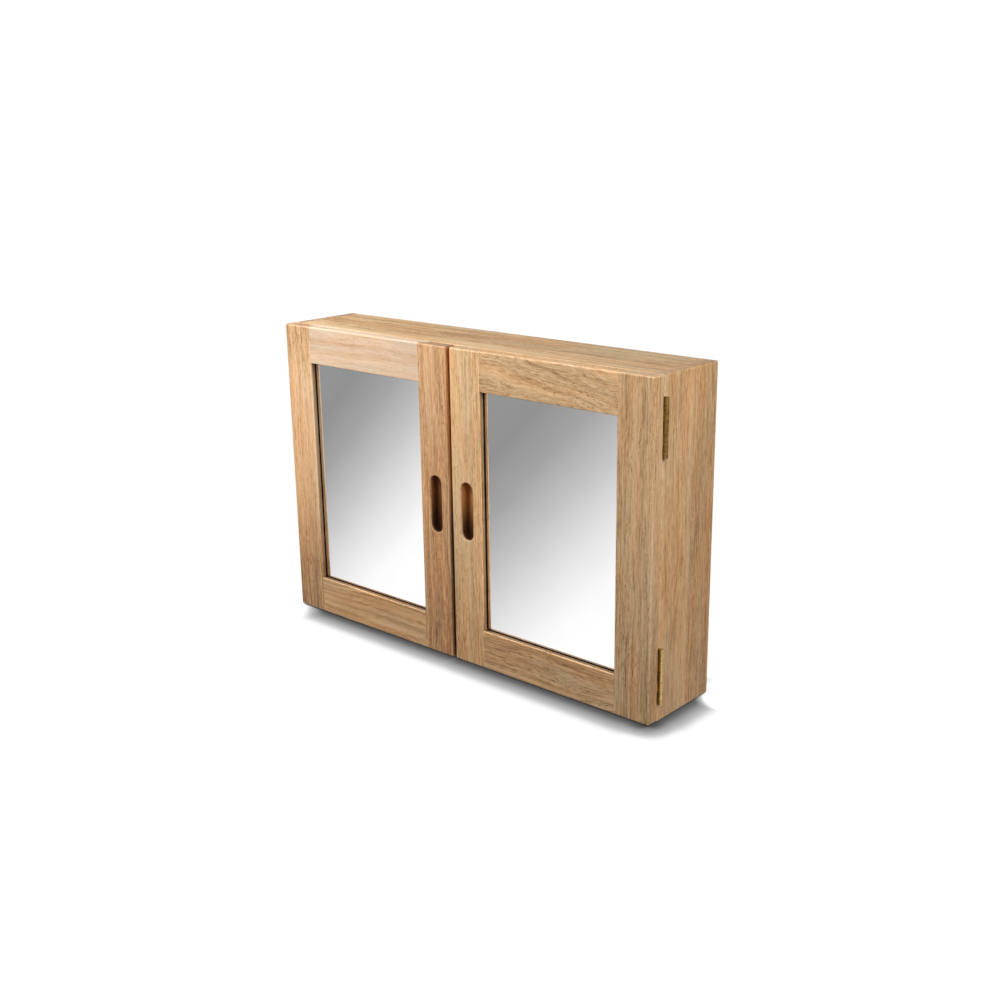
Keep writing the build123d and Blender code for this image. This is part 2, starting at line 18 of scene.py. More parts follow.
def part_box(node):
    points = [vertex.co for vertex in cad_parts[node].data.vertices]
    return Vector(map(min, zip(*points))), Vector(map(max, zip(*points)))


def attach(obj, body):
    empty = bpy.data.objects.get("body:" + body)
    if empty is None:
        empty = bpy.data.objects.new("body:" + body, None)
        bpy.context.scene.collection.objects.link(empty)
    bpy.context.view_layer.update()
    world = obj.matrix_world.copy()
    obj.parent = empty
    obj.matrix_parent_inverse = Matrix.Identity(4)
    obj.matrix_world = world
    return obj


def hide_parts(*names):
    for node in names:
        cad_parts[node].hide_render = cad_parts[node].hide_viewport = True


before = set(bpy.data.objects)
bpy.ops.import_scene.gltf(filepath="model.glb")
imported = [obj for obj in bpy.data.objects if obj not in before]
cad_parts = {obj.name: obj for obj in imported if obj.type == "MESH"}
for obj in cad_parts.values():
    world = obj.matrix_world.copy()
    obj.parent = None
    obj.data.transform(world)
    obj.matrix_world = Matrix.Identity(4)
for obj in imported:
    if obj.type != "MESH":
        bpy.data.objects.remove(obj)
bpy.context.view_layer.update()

log = logging.getLogger("mirror_cabinet")

MM = 0.001

Pair = tuple[float, float]
Colour = tuple[float, float, float]
Point = tuple[float, float, float]
Mesh = bmesh.types.BMesh
Material = bpy.types.Material


class Slot(Enum):
    """The material slots of the pieces built here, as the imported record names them."""

    MIRROR = "mirror_glass"
    BRASS = "brass"
    STEEL = "steel"


class Side(Enum):
    """One half of the cabinet, by the sign of X."""

    LEFT = -1
    RIGHT = 1

    @property
    def word(self) -> str:
        """The side's name in the nodes' names."""
        return self.name.lower()


class Cut(Enum):
    """How a board lies: the axes across its face, through it and along its grain."""

    RAIL = (2, 1, 0)
    STILE = (0, 1, 2)
    LEVEL = (1, 2, 0)
    UPRIGHT = (1, 0, 2)


@dataclass(frozen=True)
class Noise:
    """A noise: its cells per unit on each axis, its octaves and what it adds to a seed.

    With an onset it is nil at the onset's first number and full at its second.
    """

    scales: Point
    detail: float
    rough: float
    offset: float = 0.0
    onset: Pair | None = None


class Signal:
    """A value that runs through a node tree; its arithmetic adds Math nodes."""

    def __init__(self, tree: "Tree", socket: bpy.types.NodeSocket) -> None:
        """Keeps the socket that gives the value, and its tree."""
        self.tree, self.socket = tree, socket

    def __add__(self, other: "Value") -> "Signal":
        """Returns the sum."""
        return self.tree.math("ADD", self, other)

    def __sub__(self, other: "Value") -> "Signal":
        """Returns the difference."""
        return self.tree.math("SUBTRACT", self, other)

    def __rsub__(self, other: float) -> "Signal":
        """Returns a number less this value."""
        return self.tree.math("SUBTRACT", other, self)

    def __mul__(self, other: "Value") -> "Signal":
        """Returns the product."""
        return self.tree.math("MULTIPLY", self, other)

    def __truediv__(self, other: "Value") -> "Signal":
        """Returns the quotient."""
        return self.tree.math("DIVIDE", self, other)

    def __abs__(self) -> "Signal":
        """Returns the value without its sign."""
        return self.tree.math("ABSOLUTE", self)


Value = Signal | float
Inputs = dict[str | int, Value | Sequence[float]]


class Tree:
    """A node tree, with short calls for the nodes that the finishes share."""

    def __init__(self, owner: Material | bpy.types.World, output: str, shader: str) -> None:
        """Starts the owner's tree with its output and the shader that feeds it."""
        owner.use_nodes = True
        self.nodes, self.links = owner.node_tree.nodes, owner.node_tree.links
        self.nodes.clear()
        end = self.nodes.new(f"ShaderNodeOutput{output}")
        self.shader = self.nodes.new(f"ShaderNode{shader}")
        self.links.new(self.shader.outputs[0], end.inputs["Surface"])

    def feed(self, node: bpy.types.Node, inputs: Inputs) -> None:
        """Links a node's inputs to signals, or sets their own values."""
        for key, value in inputs.items():
            if isinstance(value, Signal):
                self.links.new(value.socket, node.inputs[key])
            else:
                node.inputs[key].default_value = value

    def add(self, kind: str, inputs: Inputs, output: str | int = 0, **settings: object) -> Signal:
        """Adds a node.

        Args:
            kind: Its type.
            inputs: What feeds it, by the inputs' names or numbers.
            output: The output that is wanted.
            settings: Its own properties.

        Returns:
            The wanted output.
        """
        node = self.nodes.new(f"ShaderNode{kind}")
        for name, value in settings.items():
            setattr(node, name, value)
        self.feed(node, inputs)
        return Signal(self, node.outputs[output])

    def math(self, operation: str, *values: Value, clamp: bool = False) -> Signal:
        """Adds a Math node.

        Args:
            operation: Blender's name of the operation.
            values: Its inputs, in order.
            clamp: Whether the result is kept between 0 and 1.

        Returns:
            The result.
        """
        return self.add("Math", dict(enumerate(values)), operation=operation, use_clamp=clamp)

    def split(self, vector: Signal) -> list[Signal]:
        """Returns the three parts of a vector."""
        node = self.nodes.new("ShaderNodeSeparateXYZ")
        self.feed(node, {0: vector})
        return [Signal(self, output) for output in node.outputs]

    def stretch(self, parts: Sequence[Value], scales: Point, shift: float) -> Signal:
        """Returns the vector of three parts, each times its scale, and moved by the shift."""
        scaled = [self.math("MULTIPLY_ADD", part, scale, shift) for part, scale in zip(parts, scales)]
        return self.add("CombineXYZ", dict(enumerate(scaled)))

    def noise(self, parts: Sequence[Value], noise: Noise, seed: float) -> Signal:
        """Returns a noise from 0 to 1 at a point that is given as three parts."""
        point = self.stretch(parts, noise.scales, seed + noise.offset)
        inputs: Inputs = {"Vector": point, "Scale": 1.0, "Detail": noise.detail, "Roughness": noise.rough}
        level = self.add("TexNoise", inputs, "Fac")
        return self.step(level, noise.onset) if noise.onset else level

    def cells(self, parts: Sequence[Value], scales: Point, shift: float) -> Signal:
        """Returns the distance to the nearest of scattered points, in stretched cells."""
        inputs: Inputs = {"Vector": self.stretch(parts, scales, shift), "Scale": 1.0}
        return self.add("TexVoronoi", inputs, "Distance")

    def step(self, value: Value, onset: Pair) -> Signal:
        """Returns 0 at the onset's first number and beyond it, and 1 from its second number on."""
        low, high = onset
        flip = low > high
        inputs: Inputs = {
            "Value": value,
            "From Min": min(low, high),
            "From Max": max(low, high),
            "To Min": float(flip),
            "To Max": float(not flip),
        }
        return self.add("MapRange", inputs, "Result", interpolation_type="SMOOTHSTEP")

    def ramp(self, factor: Value, stops: Sequence[tuple[float, Colour]]) -> Signal:
        """Returns the colour at a factor between colours at rising places."""
        node = self.nodes.new("ShaderNodeValToRGB")
        elements = node.color_ramp.elements
        while len(elements) < len(stops):
            elements.new(0.5)
        for element, (place, colour) in zip(elements, stops):
            element.position, element.color = place, (*colour, 1.0)
        self.feed(node, {0: factor})
        return Signal(self, node.outputs["Color"])

    def mix(self, factor: Value, low: Signal | Colour, high: Signal | Colour, kind: str = "MIX") -> Signal:
        """Mixes two colours.

        Args:
            factor: The share of the second colour.
            low: The first colour.
            high: The second colour.
            kind: Blender's name of the blend.

        Returns:
            The colour.
        """
        colours = [value if isinstance(value, Signal) else (*value, 1.0) for value in (low, high)]
        inputs: Inputs = {0: factor, 6: colours[0], 7: colours[1]}
        return self.add("Mix", inputs, 2, data_type="RGBA", blend_type=kind)

    def tinted(self, colour: Signal | Colour, tint: Signal | Colour) -> Signal:
        """Returns the product of two colours."""
        return self.mix(1.0, colour, tint, "MULTIPLY")


class Sketch(Tree):
    """A material with one surface shader."""

    def __init__(self, name: str) -> None:
        """Starts the material."""
        self.material = bpy.data.materials.new(name)
        super().__init__(self.material, "Material", "BsdfPrincipled")

    def place(self) -> list[Signal]:
        """Returns the surface point's X, Y and Z in millimetres, fixed to the piece."""
        point = self.add("TexCoord", {}, "Object")
        return self.split(self.add("VectorMath", {0: point, "Scale": 1 / MM}, operation="SCALE"))

    def bump(self, height: Value, depth: float, strength: float) -> None:
        """Gives the surface a relief of that depth in metres."""
        inputs: Inputs = {"Strength": strength, "Distance": depth, "Height": height}
        self.feed(self.shader, {"Normal": self.add("Bump", inputs, "Normal")})

    def inset(self, part: Signal, low: float, high: float) -> Signal:
        """Returns how far a place in millimetres lies within two ends in metres."""
        return self.math("MINIMUM", part - low / MM, high / MM - part)

    def edges(self, parts: Sequence[Signal], board: "Board", reach: float) -> Signal:
        """Returns 1 on a board's edges, falling to 0 at the reach in millimetres."""
        far = 1000.0
        x, y, z = (
            far if name in board.skip else self.inset(part, low, high)
            for name, part, low, high in zip("xyz", parts, board.low, board.high)
        )
        larger = self.math("MINIMUM", self.math("MAXIMUM", x, y), z)
        second = self.math("MAXIMUM", self.math("MINIMUM", x, y), larger)
        return self.step(second, (reach, 0.0))


@dataclass(frozen=True)
class Board:
    """Where a board lies.

    Its corners are in metres; skip names the axes at whose ends it has no worn, highlit edges.
    A hollow of painted shade may lie within that many millimetres of the cabinet's middle. Sight
    is the axis of the edge that faces a mirror's middle, and where that edge lies in metres; the
    lip there gets painted shade.
    """

    cut: Cut
    low: Vector
    high: Vector
    skip: str = ""
    hollow: float = 0.0
    sight: tuple[int, float] | None = None


@dataclass(frozen=True)
class WoodTones:
    """The colours of a wood from its palest fibre to its darkest vessel, how its edges wear and take a
    painted highlight, and the painted shade in a finger pull.
    """

    pale: Colour = (0.77, 0.54, 0.33)
    honey: Colour = (0.62, 0.385, 0.20)
    brown: Colour = (0.42, 0.235, 0.112)
    dark: Colour = (0.17, 0.088, 0.042)
    end: Colour = (0.40, 0.315, 0.225)
    places: tuple[float, ...] = (0.0, 0.36, 0.66, 1.0)
    middle: float = 0.27
    end_share: float = 0.35
    warm: Colour = (1.06, 0.965, 0.87)
    cool: Colour = (0.96, 0.98, 0.98)
    # Worn edges are paler: partly real wear, partly a painted highlight along the edges.
    worn: Colour = (1.22, 1.24, 1.26)
    worn_share: float = 0.7
    worn_reach: float = 2.4
    # Tint of the painted shade at the foot of a finger pull.
    pull_shade_foot: Colour = (0.1, 0.055, 0.03)

    def stops(self, tint: Colour) -> list[tuple[float, Colour]]:
        """Returns the ramp from pale to dark, each colour times the tint."""
        colours = (self.pale, self.honey, self.brown, self.dark)
        return [(at, tuple(c * t for c, t in zip(colour, tint))) for at, colour in zip(self.places, colours)]


@dataclass(frozen=True)
class WoodFigure:
    """The noises of a wood, by cells in a millimetre across, through and along the grain."""

    bend: Noise = Noise((0.006, 0.004, 0.008), 1.0, 0.5)
    ripple: Noise = Noise((0.02, 0.03, 0.05), 2.0, 0.55, 5)
    pace: Noise = Noise((0.35, 1.0, 1.0), 1.0, 0.5, 9)
    line: Noise = Noise((1.0, 0.002, 1.0), 3.0, 0.62, 13)
    fibre: Noise = Noise((0.8, 0.8, 0.024), 4.0, 0.74, 17)
    speck: Noise = Noise((1.35, 1.35, 0.1), 2.0, 0.7, 19)
    streak: Noise = Noise((0.15, 0.15, 0.0035), 3.0, 0.55, 21)
    broad: Noise = Noise((0.018, 0.02, 0.0045), 2.0, 0.5, 25)
    patch: Noise = Noise((0.1, 0.1, 0.014), 1.0, 0.5, 33, (0.42, 0.6))
    hue: Noise = Noise((0.05, 0.05, 0.006), 2.0, 0.5, 37, (0.36, 0.64))
    chafe: Noise = Noise((0.16, 0.16, 0.16), 3.0, 0.6, 41, (0.25, 0.6))
    tick: Noise = Noise((0.75, 0.16, 1.0), 2.0, 0.6, 45, (0.5, 0.62))
    stave: Noise = Noise((0.73, 1.0, 1.0), 0.0, 0.5)
    vessel_width: float = 0.62
    vessel_offset: float = 29


@dataclass(frozen=True)
class WoodOnsets:
    """Where each effect in a wood is nil and where it is full; lengths in millimetres.

    Behind and lip_behind count from the board's front, aside from the cabinet's middle, level
    and lit from the board's middle height, and the painted shade at the foot and the brow from the floor.
    """

    late_rise: Pair = (0.2, 0.9)
    late_fall: Pair = (1.0, 0.92)
    early: Pair = (0.6, 0.1)
    vessel: Pair = (0.36, 0.14)
    foot_shade: Pair = (170.0, 10.0)
    brow: Pair = (300.0, 375.0)
    end: Pair = (0.45, 0.95)
    front: Pair = (0.6, 4.0)
    level: Pair = (40.0, 38.0)
    aside: Pair = (11.0, 13.0)
    corner: Pair = (4.2, 2.6)
    back: Pair = (15.0, 12.0)
    lit: Pair = (-30.0, 25.0)
    lip_behind: Pair = (0.9, 1.8)
    lip_beside: Pair = (1.2, 0.4)


@dataclass(frozen=True)
class Wood:
    """A sawn and oiled board, with growth lines, fibres and pores that run through it.

    The heart is the tree's middle, in millimetres across and through the board from the
    board's own middle. Lengths are in millimetres, strengths in shares of the tones' ramp.
    """

    seed: float
    tint: Colour = (1.0, 1.0, 1.0)
    heart: Pair = (35.0, 140.0)
    ring_width: float = 4.2
    lines: float = 0.8
    sway: float = 4.0
    slope: float = 0.0
    rings: float = 0.1
    streaks: float = 0.7
    fibres: float = 1.75
    pores: float = 0.5
    pore_length: float = 7.0
    stave: float = 0.0
    stave_mix: float = 0.5
    stave_step: float = 0.0
    depth: float = 0.0
    # Painted shade: how much darker the board grows towards the floor and towards its top, where less light
    # falls.
    foot_shade: float = 0.0
    brow: float = 0.0
    end_depth: float = 0.12
    end_ticks: float = 0.15
    # How much of the colour the painted shade on the lip round the mirror leaves.
    lip_shade: float = 0.5
    # Tint of the painted shade at the top of a finger pull.
    oil: Colour = (0.45, 0.29, 0.165)
    tones: WoodTones = WoodTones()
    figure: WoodFigure = WoodFigure()
    onsets: WoodOnsets = WoodOnsets()


class BoardSketch(Sketch):
    """The material of one board: its figure, its end grain, its worn edges with a painted highlight, and
    painted shade in its finger pull, at the doors' meeting corner and on its lip.
    """

    def __init__(self, name: str, wood: Wood, board: Board) -> None:
        """Starts the material and finds the surface point's place in the board."""
        super().__init__(name)
        self.wood, self.board = wood, board
        self.tones, self.figure, self.onsets = wood.tones, wood.figure, wood.onsets
        self.tone: Value = self.tones.middle + wood.depth
        self.parts = self.place()
        self.middle = [(low + high) / 2 / MM for low, high in zip(board.low, board.high)]
        self.across, self.through, self.along = (
            self.parts[axis] - self.middle[axis] for axis in board.cut.value
        )

    def build(self) -> Material:
        """Returns the finished material."""
        if self.wood.stave:
            self.part_into_staves()
        flow = self.flow()
        years = self.years(flow)
        late, pore, fibre = self.grow(flow, years)
        colour = self.coloured(flow)
        chafe = self.noise(self.parts, self.figure.chafe, self.wood.seed)
        # Worn edges: smoother from wear, and lightened in colour as a painted highlight.
        rub_and_highlight = self.edges(self.parts, self.board, self.tones.worn_reach) * chafe
        colour = self.mix(rub_and_highlight * self.tones.worn_share, colour, self.tinted(colour, self.tones.worn))
        if self.board.hollow:
            colour = self.painted_hollow_shade(colour)
        if self.board.sight:
            colour = self.painted_lip_shade(colour)
        gloss = rub_and_highlight * -0.08 + (pore * 0.2 + (fibre * 0.25 + 0.42))
        self.feed(self.shader, {"Base Color": colour, "Roughness": gloss, "Specular IOR Level": 0.3})
        self.bump(late * 0.25 + (fibre * 0.5 + pore * -1.0), 0.25 * MM, 0.5)
        return self.material

    def deepen(self, amount: Signal, strength: float) -> None:
        """Darkens the tone by an amount times a strength."""
        self.tone = amount * strength + self.tone

    def part_into_staves(self) -> None:
        """Moves the figure on from each glued stave to the next, and changes its tone."""
        edge, along_step, through_step = 500.0, 311.0, 23.0
        number = self.math("FLOOR", (self.across + edge) / self.wood.stave)
        self.along = number * along_step + self.along
        self.through = number * through_step + self.through
        kind = self.noise([number, 0.0, 0.0], self.figure.stave, self.wood.seed)
        self.deepen(kind - 0.5, self.wood.stave_mix)
        self.deepen(self.math("MODULO", number, 2.0), self.wood.stave_step)

    def flow(self) -> list[Signal]:
        """Returns the point across, through and along the fibres, which sway about the board's axes."""
        wood, sway_share, through_share = self.wood, 6, 0.4
        point = [self.along, self.through, self.across]
        bend = self.noise(point, self.figure.bend, wood.seed) - 0.5
        ripple = self.noise(point, self.figure.ripple, wood.seed) - 0.5
        shift = ripple * wood.sway + (bend * (wood.sway * sway_share) + self.along * wood.slope)
        return [self.across + shift, shift * through_share + self.through, self.along]

    def years(self, flow: Sequence[Signal]) -> Signal:
        """Returns how many growth rings lie between the heart and the point."""
        out_across, out_through = (part - middle for part, middle in zip(flow, self.wood.heart))
        radius = self.math("SQRT", out_through * out_through + out_across * out_across)
        years = radius / self.wood.ring_width
        unevenness = 2.6
        return self.noise([years, 0.0, 0.0], self.figure.pace, self.wood.seed) * unevenness + years

    def grow(self, flow: Sequence[Signal], years: Signal) -> tuple[Signal, Signal, Signal]:
        """Adds the growth lines, the fibres and the pores to the tone.

        Args:
            flow: The point along the fibres.
            years: The growth rings up to the point.

        Returns:
            Where the late wood, the pores and the fibres lie.
        """
        wood, figure, onsets = self.wood, self.figure, self.onsets
        season = self.math("FRACT", years)
        late = self.step(season, onsets.late_rise) * self.step(season, onsets.late_fall)
        fibre = self.noise(flow, figure.fibre, wood.seed)
        early = self.step(season, onsets.early) * 0.6 + 0.4
        patch = self.noise(flow, figure.patch, wood.seed)
        cell = (figure.vessel_width, figure.vessel_width, 1 / wood.pore_length)
        vessel = self.cells(flow, cell, wood.seed + figure.vessel_offset)
        pore = self.step(vessel, onsets.vessel) * (early * patch)
        waves = (
            (self.noise([years, self.along, 0.0], figure.line, wood.seed), wood.lines),
            (fibre, wood.fibres),
            (self.noise(flow, figure.speck, wood.seed), 0.8 * wood.fibres),
            (self.noise(flow, figure.streak, wood.seed), wood.streaks),
            (self.noise(flow, figure.broad, wood.seed), 0.5),
        )
        for wave, strength in waves:
            self.deepen(wave - 0.5, strength)
        self.deepen(late, wood.rings)
        self.deepen(pore, wood.pores)
        # Painted shade: darker towards the floor and towards the top, standing in for light that falls off.
        if wood.foot_shade:
            self.deepen(self.step(self.parts[2], onsets.foot_shade), wood.foot_shade)
        if wood.brow:
            self.deepen(self.step(self.parts[2], onsets.brow), wood.brow)
        return late, pore, fibre

    def coloured(self, flow: Sequence[Signal]) -> Signal:
        """Returns the colour of the tone, with its end grain and its drift of hue."""
        wood, tones = self.wood, self.tones
        normal = self.split(self.add("TexCoord", {}, "Normal"))
        end = self.step(abs(normal[self.board.cut.value[2]]), self.onsets.end)
        self.deepen(end, wood.end_depth)
        tick = self.noise([self.across, self.through, 0.0], self.figure.tick, wood.seed)
        self.deepen(end * tick, wood.end_ticks)
        colour = self.ramp(self.tone, tones.stops(wood.tint))
        colour = self.mix(end * tones.end_share, colour, tones.end)
        hue = self.noise(flow, self.figure.hue, wood.seed)
        return self.mix(hue, self.tinted(colour, tones.warm), self.tinted(colour, tones.cool))

    def painted_hollow_shade(self, colour: Signal) -> Signal:
        """Returns the colour with painted shade inside the finger pull, lighter at its top and darker at its
        foot, and at the corner between the doors.
        """
        onsets, hollow, fade, corner_share = self.onsets, self.board.hollow, 2, 0.72
        behind = self.parts[1] - self.board.low.y / MM
        aside = abs(self.parts[0])
        up = self.parts[2] - self.middle[2]
        # Painted shade: the finger pull is darkened as if in shadow, and so is the meeting edge's rounding
        # in the gap between the doors.
        inside = self.step(behind, onsets.front) * self.step(aside, (hollow + fade, hollow))
        inside = inside * self.step(abs(up), onsets.level) * self.step(aside, onsets.aside)
        corner = self.step(aside, onsets.corner) * corner_share
        dark = self.math("MAXIMUM", inside, corner) * self.step(behind, onsets.back)
        oil = self.mix(self.step(up, onsets.lit), self.tones.pull_shade_foot, self.wood.oil)
        return self.mix(dark, colour, self.tinted(colour, oil))

    def painted_lip_shade(self, colour: Signal) -> Signal:
        """Returns the colour with painted shade on the inner face of the lip round the mirror."""
        axis, place = self.board.sight
        beside = abs(self.parts[axis] - place / MM)
        behind = self.parts[1] - self.board.low.y / MM
        lip = self.step(beside, self.onsets.lip_beside) * self.step(behind, self.onsets.lip_behind)
        shade = tuple(self.wood.lip_shade * share for share in (1.0, 0.95, 0.9))
        return self.mix(lip, colour, self.tinted(colour, shade))


@dataclass(frozen=True)
class Metal:
    """A plated or polished metal with fine scratches and tarnish.

    Painted shade darkens it in front of a depth that the material is given.
    """

    clean: Colour
    tarnish: Colour
    gloss: float = 0.22
    spots: float = 0.5
    grime: Colour = (0.1, 0.055, 0.016)
    grime_light: Colour = (1.9, 1.9, 1.5)
    scratch_light: Colour = (1.18, 1.16, 1.1)
    cloud: Noise = Noise((0.35, 0.35, 0.35), 4.0, 0.6, 0, (0.42, 0.66))
    speck: Noise = Noise((2.6, 2.6, 2.6), 2.0, 0.6, 7, (0.58, 0.7))
    scratch: Noise = Noise((0.6, 0.6, 9.0), 3.0, 0.6, 11)
    scratch_onset: Pair = (0.52, 0.72)

    def material(self, name: str, seed: float = 0.0, grime_front: float | None = None) -> Material:
        """Builds the metal's material.

        Args:
            name: The material's name.
            seed: Where its tarnish lies.
            grime_front: The Y in millimetres in front of which painted shade darkens it.

        Returns:
            The material.
        """
        sketch = Sketch(name)
        parts = sketch.place()
        scratch = sketch.noise(parts, self.scratch, seed)
        dull = sketch.noise(parts, self.cloud, seed) * self.spots
        speck = sketch.noise(parts, self.speck, seed)
        dull = sketch.math("MULTIPLY_ADD", speck, self.spots * 0.6, dull, clamp=True)
        colour = sketch.mix(dull, self.clean, self.tarnish)
        bright = sketch.tinted(colour, self.scratch_light)
        colour = sketch.mix(sketch.step(scratch, self.scratch_onset), colour, bright)
        # Painted shade on the barrel's door side, where it lies in the shadow of the door's edge.
        if grime_front is not None:
            crevice_shaded = sketch.mix(dull, sketch.tinted(self.grime, self.grime_light), self.grime)
            colour = sketch.mix(sketch.step(parts[1], (grime_front + 0.5, grime_front)), colour, crevice_shaded)
        rough = scratch * 0.12 + (dull * 0.28 + self.gloss)
        sketch.feed(sketch.shader, {"Base Color": colour, "Metallic": 1.0, "Roughness": rough})
        sketch.bump(scratch, 0.06 * MM, 0.35)
        return sketch.material


@dataclass(frozen=True)
class Silvering:
    """A silvered mirror: an even reflection, with a dark line painted at its edge as the shade of the gap
    behind the lip.

    Lengths are in millimetres.
    """

    tint: Colour = (0.96, 0.96, 0.96)
    haze: Colour = (0.94, 0.94, 0.94)
    # The colour of the painted shade line at the mirror's edge, where the gap behind the lip lies in shadow.
    edge: Colour = (0.05, 0.045, 0.04)
    shade_line_blur: float = 0.4
    side_width: float = 8.1
    rail_width: float = 7.3
    cloud: Noise = Noise((0.02, 0.02, 0.02), 3.0, 0.55, 0, (0.4, 0.75))
    smear: Noise = Noise((0.05, 0.05, 0.012), 4.0, 0.6, 3, (0.5, 0.9))
    smear_rough: float = 0.01

    def material(self, name: str, seed: float, low: Vector, high: Vector) -> Material:
        """Builds the mirror's material.

        Args:
            name: The material's name.
            seed: Where its faint haze lies.
            low: The mirror's lowest corner in metres.
            high: The mirror's highest corner in metres.

        Returns:
            The material.
        """
        sketch = Sketch(name)
        parts = sketch.place()
        cloud = sketch.noise(parts, self.cloud, seed)
        # Painted shade: a dark line along each edge, within the lip's sight.
        dark: Value = 0.0
        for axis, width in ((0, self.side_width), (2, self.rail_width)):
            inset = sketch.inset(parts[axis], low[axis], high[axis])
            dark = sketch.math("MAXIMUM", dark, sketch.step(inset, (width + self.shade_line_blur, width)))
        colour = sketch.mix(dark, sketch.mix(cloud, self.tint, self.haze), self.edge)
        rough = sketch.noise(parts, self.smear, seed) * self.smear_rough
        sketch.feed(sketch.shader, {"Base Color": colour, "Metallic": 1.0, "Roughness": rough})
        return sketch.material


@dataclass(frozen=True)
class Moulded:
    """A moulded, pressed or sintered surface with a fine even grain."""

    base: Colour
    light: Colour
    gloss: float = 0.45
    grain: float = 3.0
    cloud: Noise = Noise((0.06, 0.06, 0.06), 3.0, 0.5, 5)
    onset: Pair = (0.3, 0.75)

    def material(self, name: str, seed: float = 0.0) -> Material:
        """Returns the material, with its mottling placed by the seed."""
        sketch = Sketch(name)
        parts = sketch.place()
        grain = sketch.noise(parts, Noise((self.grain,) * 3, 3.0, 0.65), seed)
        mottle = grain * 0.5 + sketch.noise(parts, self.cloud, seed) * 0.5
        colour = sketch.mix(sketch.step(mottle, self.onset), self.base, self.light)
        sketch.feed(sketch.shader, {"Base Color": colour, "Roughness": grain * 0.2 + self.gloss})
        sketch.bump(grain, 0.06 * MM, 0.6)
        return sketch.material


BRASS = Metal(clean=(0.6, 0.42, 0.155), tarnish=(0.28, 0.18, 0.06), spots=0.7)
# A darker, duller copy of the brass for the upper hinges: painted shade.
SHADED_BRASS = Metal(
    clean=(0.23, 0.15, 0.045),
    tarnish=(0.12, 0.07, 0.02),
    gloss=0.34,
    spots=0.9,
    grime=(0.17, 0.1, 0.03),
)
STEEL = Metal(clean=(0.62, 0.62, 0.61), tarnish=(0.33, 0.32, 0.30), gloss=0.3, spots=0.35)
PLASTIC = Moulded(base=(0.055, 0.030, 0.017), light=(0.085, 0.048, 0.028))
CERAMIC = Moulded(base=(0.035, 0.035, 0.038), light=(0.06, 0.06, 0.062), gloss=0.6, grain=6.0)
HARDBOARD = Moulded(base=(0.17, 0.105, 0.06), light=(0.27, 0.175, 0.105), gloss=0.62, grain=1.4)


def box_middle(low: Vector, high: Vector) -> Vector:
    """Returns the middle of a box."""
    return (low + high) / 2


def half_width() -> float:
    """Returns half the width over the side boards."""
    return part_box("side_board_right")[1].x


def dress(node: str, material: Material) -> None:
    """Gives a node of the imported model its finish."""
    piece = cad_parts[node]
    if piece.material_slots:
        piece.material_slots[0].material = material
    else:
        piece.data.materials.append(material)
    log.info("dressed %s", node)


def in_scene(name: str, mesh: Mesh) -> bpy.types.Object:
    """Returns a new object of the scene with a mesh, which is freed."""
    data = bpy.data.meshes.new(name)
    mesh.to_mesh(data)
    mesh.free()
    thing = bpy.data.objects.new(name, data)
    bpy.context.scene.collection.objects.link(thing)
    return thing


def built(
    node: str, look: str, mesh: Mesh, material: Material, body: str, sharp: float = 35.0
) -> None:
    """Turns a finished mesh into a piece of the cabinet.

    Args:
        node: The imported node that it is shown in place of.
        look: What its name adds to the node's name.
        mesh: Its mesh, in the frame; it is freed.
        material: Its finish.
        body: The body that it moves with.
        sharp: The angle in degrees from which an edge is left crisp.
    """
    bmesh.ops.recalc_face_normals(mesh, faces=mesh.faces)
    piece = in_scene(f"{node}_{look}", mesh)
    data = piece.data
    data.polygons.foreach_set("use_smooth", [True] * len(data.polygons))
    data.set_sharp_from_angle(angle=math.radians(sharp))
    data.materials.append(material)
    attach(piece, body)
    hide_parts(node)
    log.info("built %s, %d faces", piece.name, len(data.polygons))


def skinned(mesh: Mesh, rings: Sequence[Sequence[Point]]) -> list[bmesh.types.BMVert]:
    """Adds a body through rings of points, closed at both ends.

    Args:
        mesh: The mesh that it is added to.
        rings: The points of each ring, from the lowest up, with equal numbers of points.

    Returns:
        The body's vertices.
    """
    loops = [[mesh.verts.new(point) for point in ring] for ring in rings]
    for low, high in zip(loops, loops[1:]):
        for here in range(len(low)):
            after = (here + 1) % len(low)
            mesh.faces.new((low[here], low[after], high[after], high[here]))
    mesh.faces.new(list(reversed(loops[0])))
    mesh.faces.new(loops[-1])
    return [vertex for loop in loops for vertex in loop]


def turned(mesh: Mesh, profile: Sequence[Pair], sides: int) -> list[bmesh.types.BMVert]:
    """Adds a body turned about Z, through rings of a radius and a height, and returns its vertices."""
    angles = [2 * math.pi * step / sides for step in range(sides)]
    return skinned(mesh, [[(r * math.cos(a), r * math.sin(a), z) for a in angles] for r, z in profile])


def drawn_out(mesh: Mesh, outline: Sequence[Pair], low: float, high: float) -> None:
    """Adds a body with an outline in X and Y and straight sides from low to high."""
    face = mesh.faces.new([mesh.verts.new((x, y, low)) for x, y in outline])
    grown = bmesh.ops.extrude_face_region(mesh, geom=[face])["geom"]
    lifted = [item for item in grown if isinstance(item, bmesh.types.BMVert)]
    bmesh.ops.translate(mesh, verts=lifted, vec=(0, 0, high - low))


def boxed(mesh: Mesh, low: Sequence[float], high: Sequence[float]) -> None:
    """Adds a block between two corners."""
    corners = [(low[0], low[1]), (high[0], low[1]), (high[0], high[1]), (low[0], high[1])]
    drawn_out(mesh, corners, low[2], high[2])


def arc(radius: float, start: float, end: float, steps: int) -> list[Pair]:
    """Returns points on a circle about the origin, from one angle to another in degrees."""
    angles = (math.radians(start + (end - start) * step / steps) for step in range(steps + 1))
    return [(radius * math.cos(angle), radius * math.sin(angle)) for angle in angles]


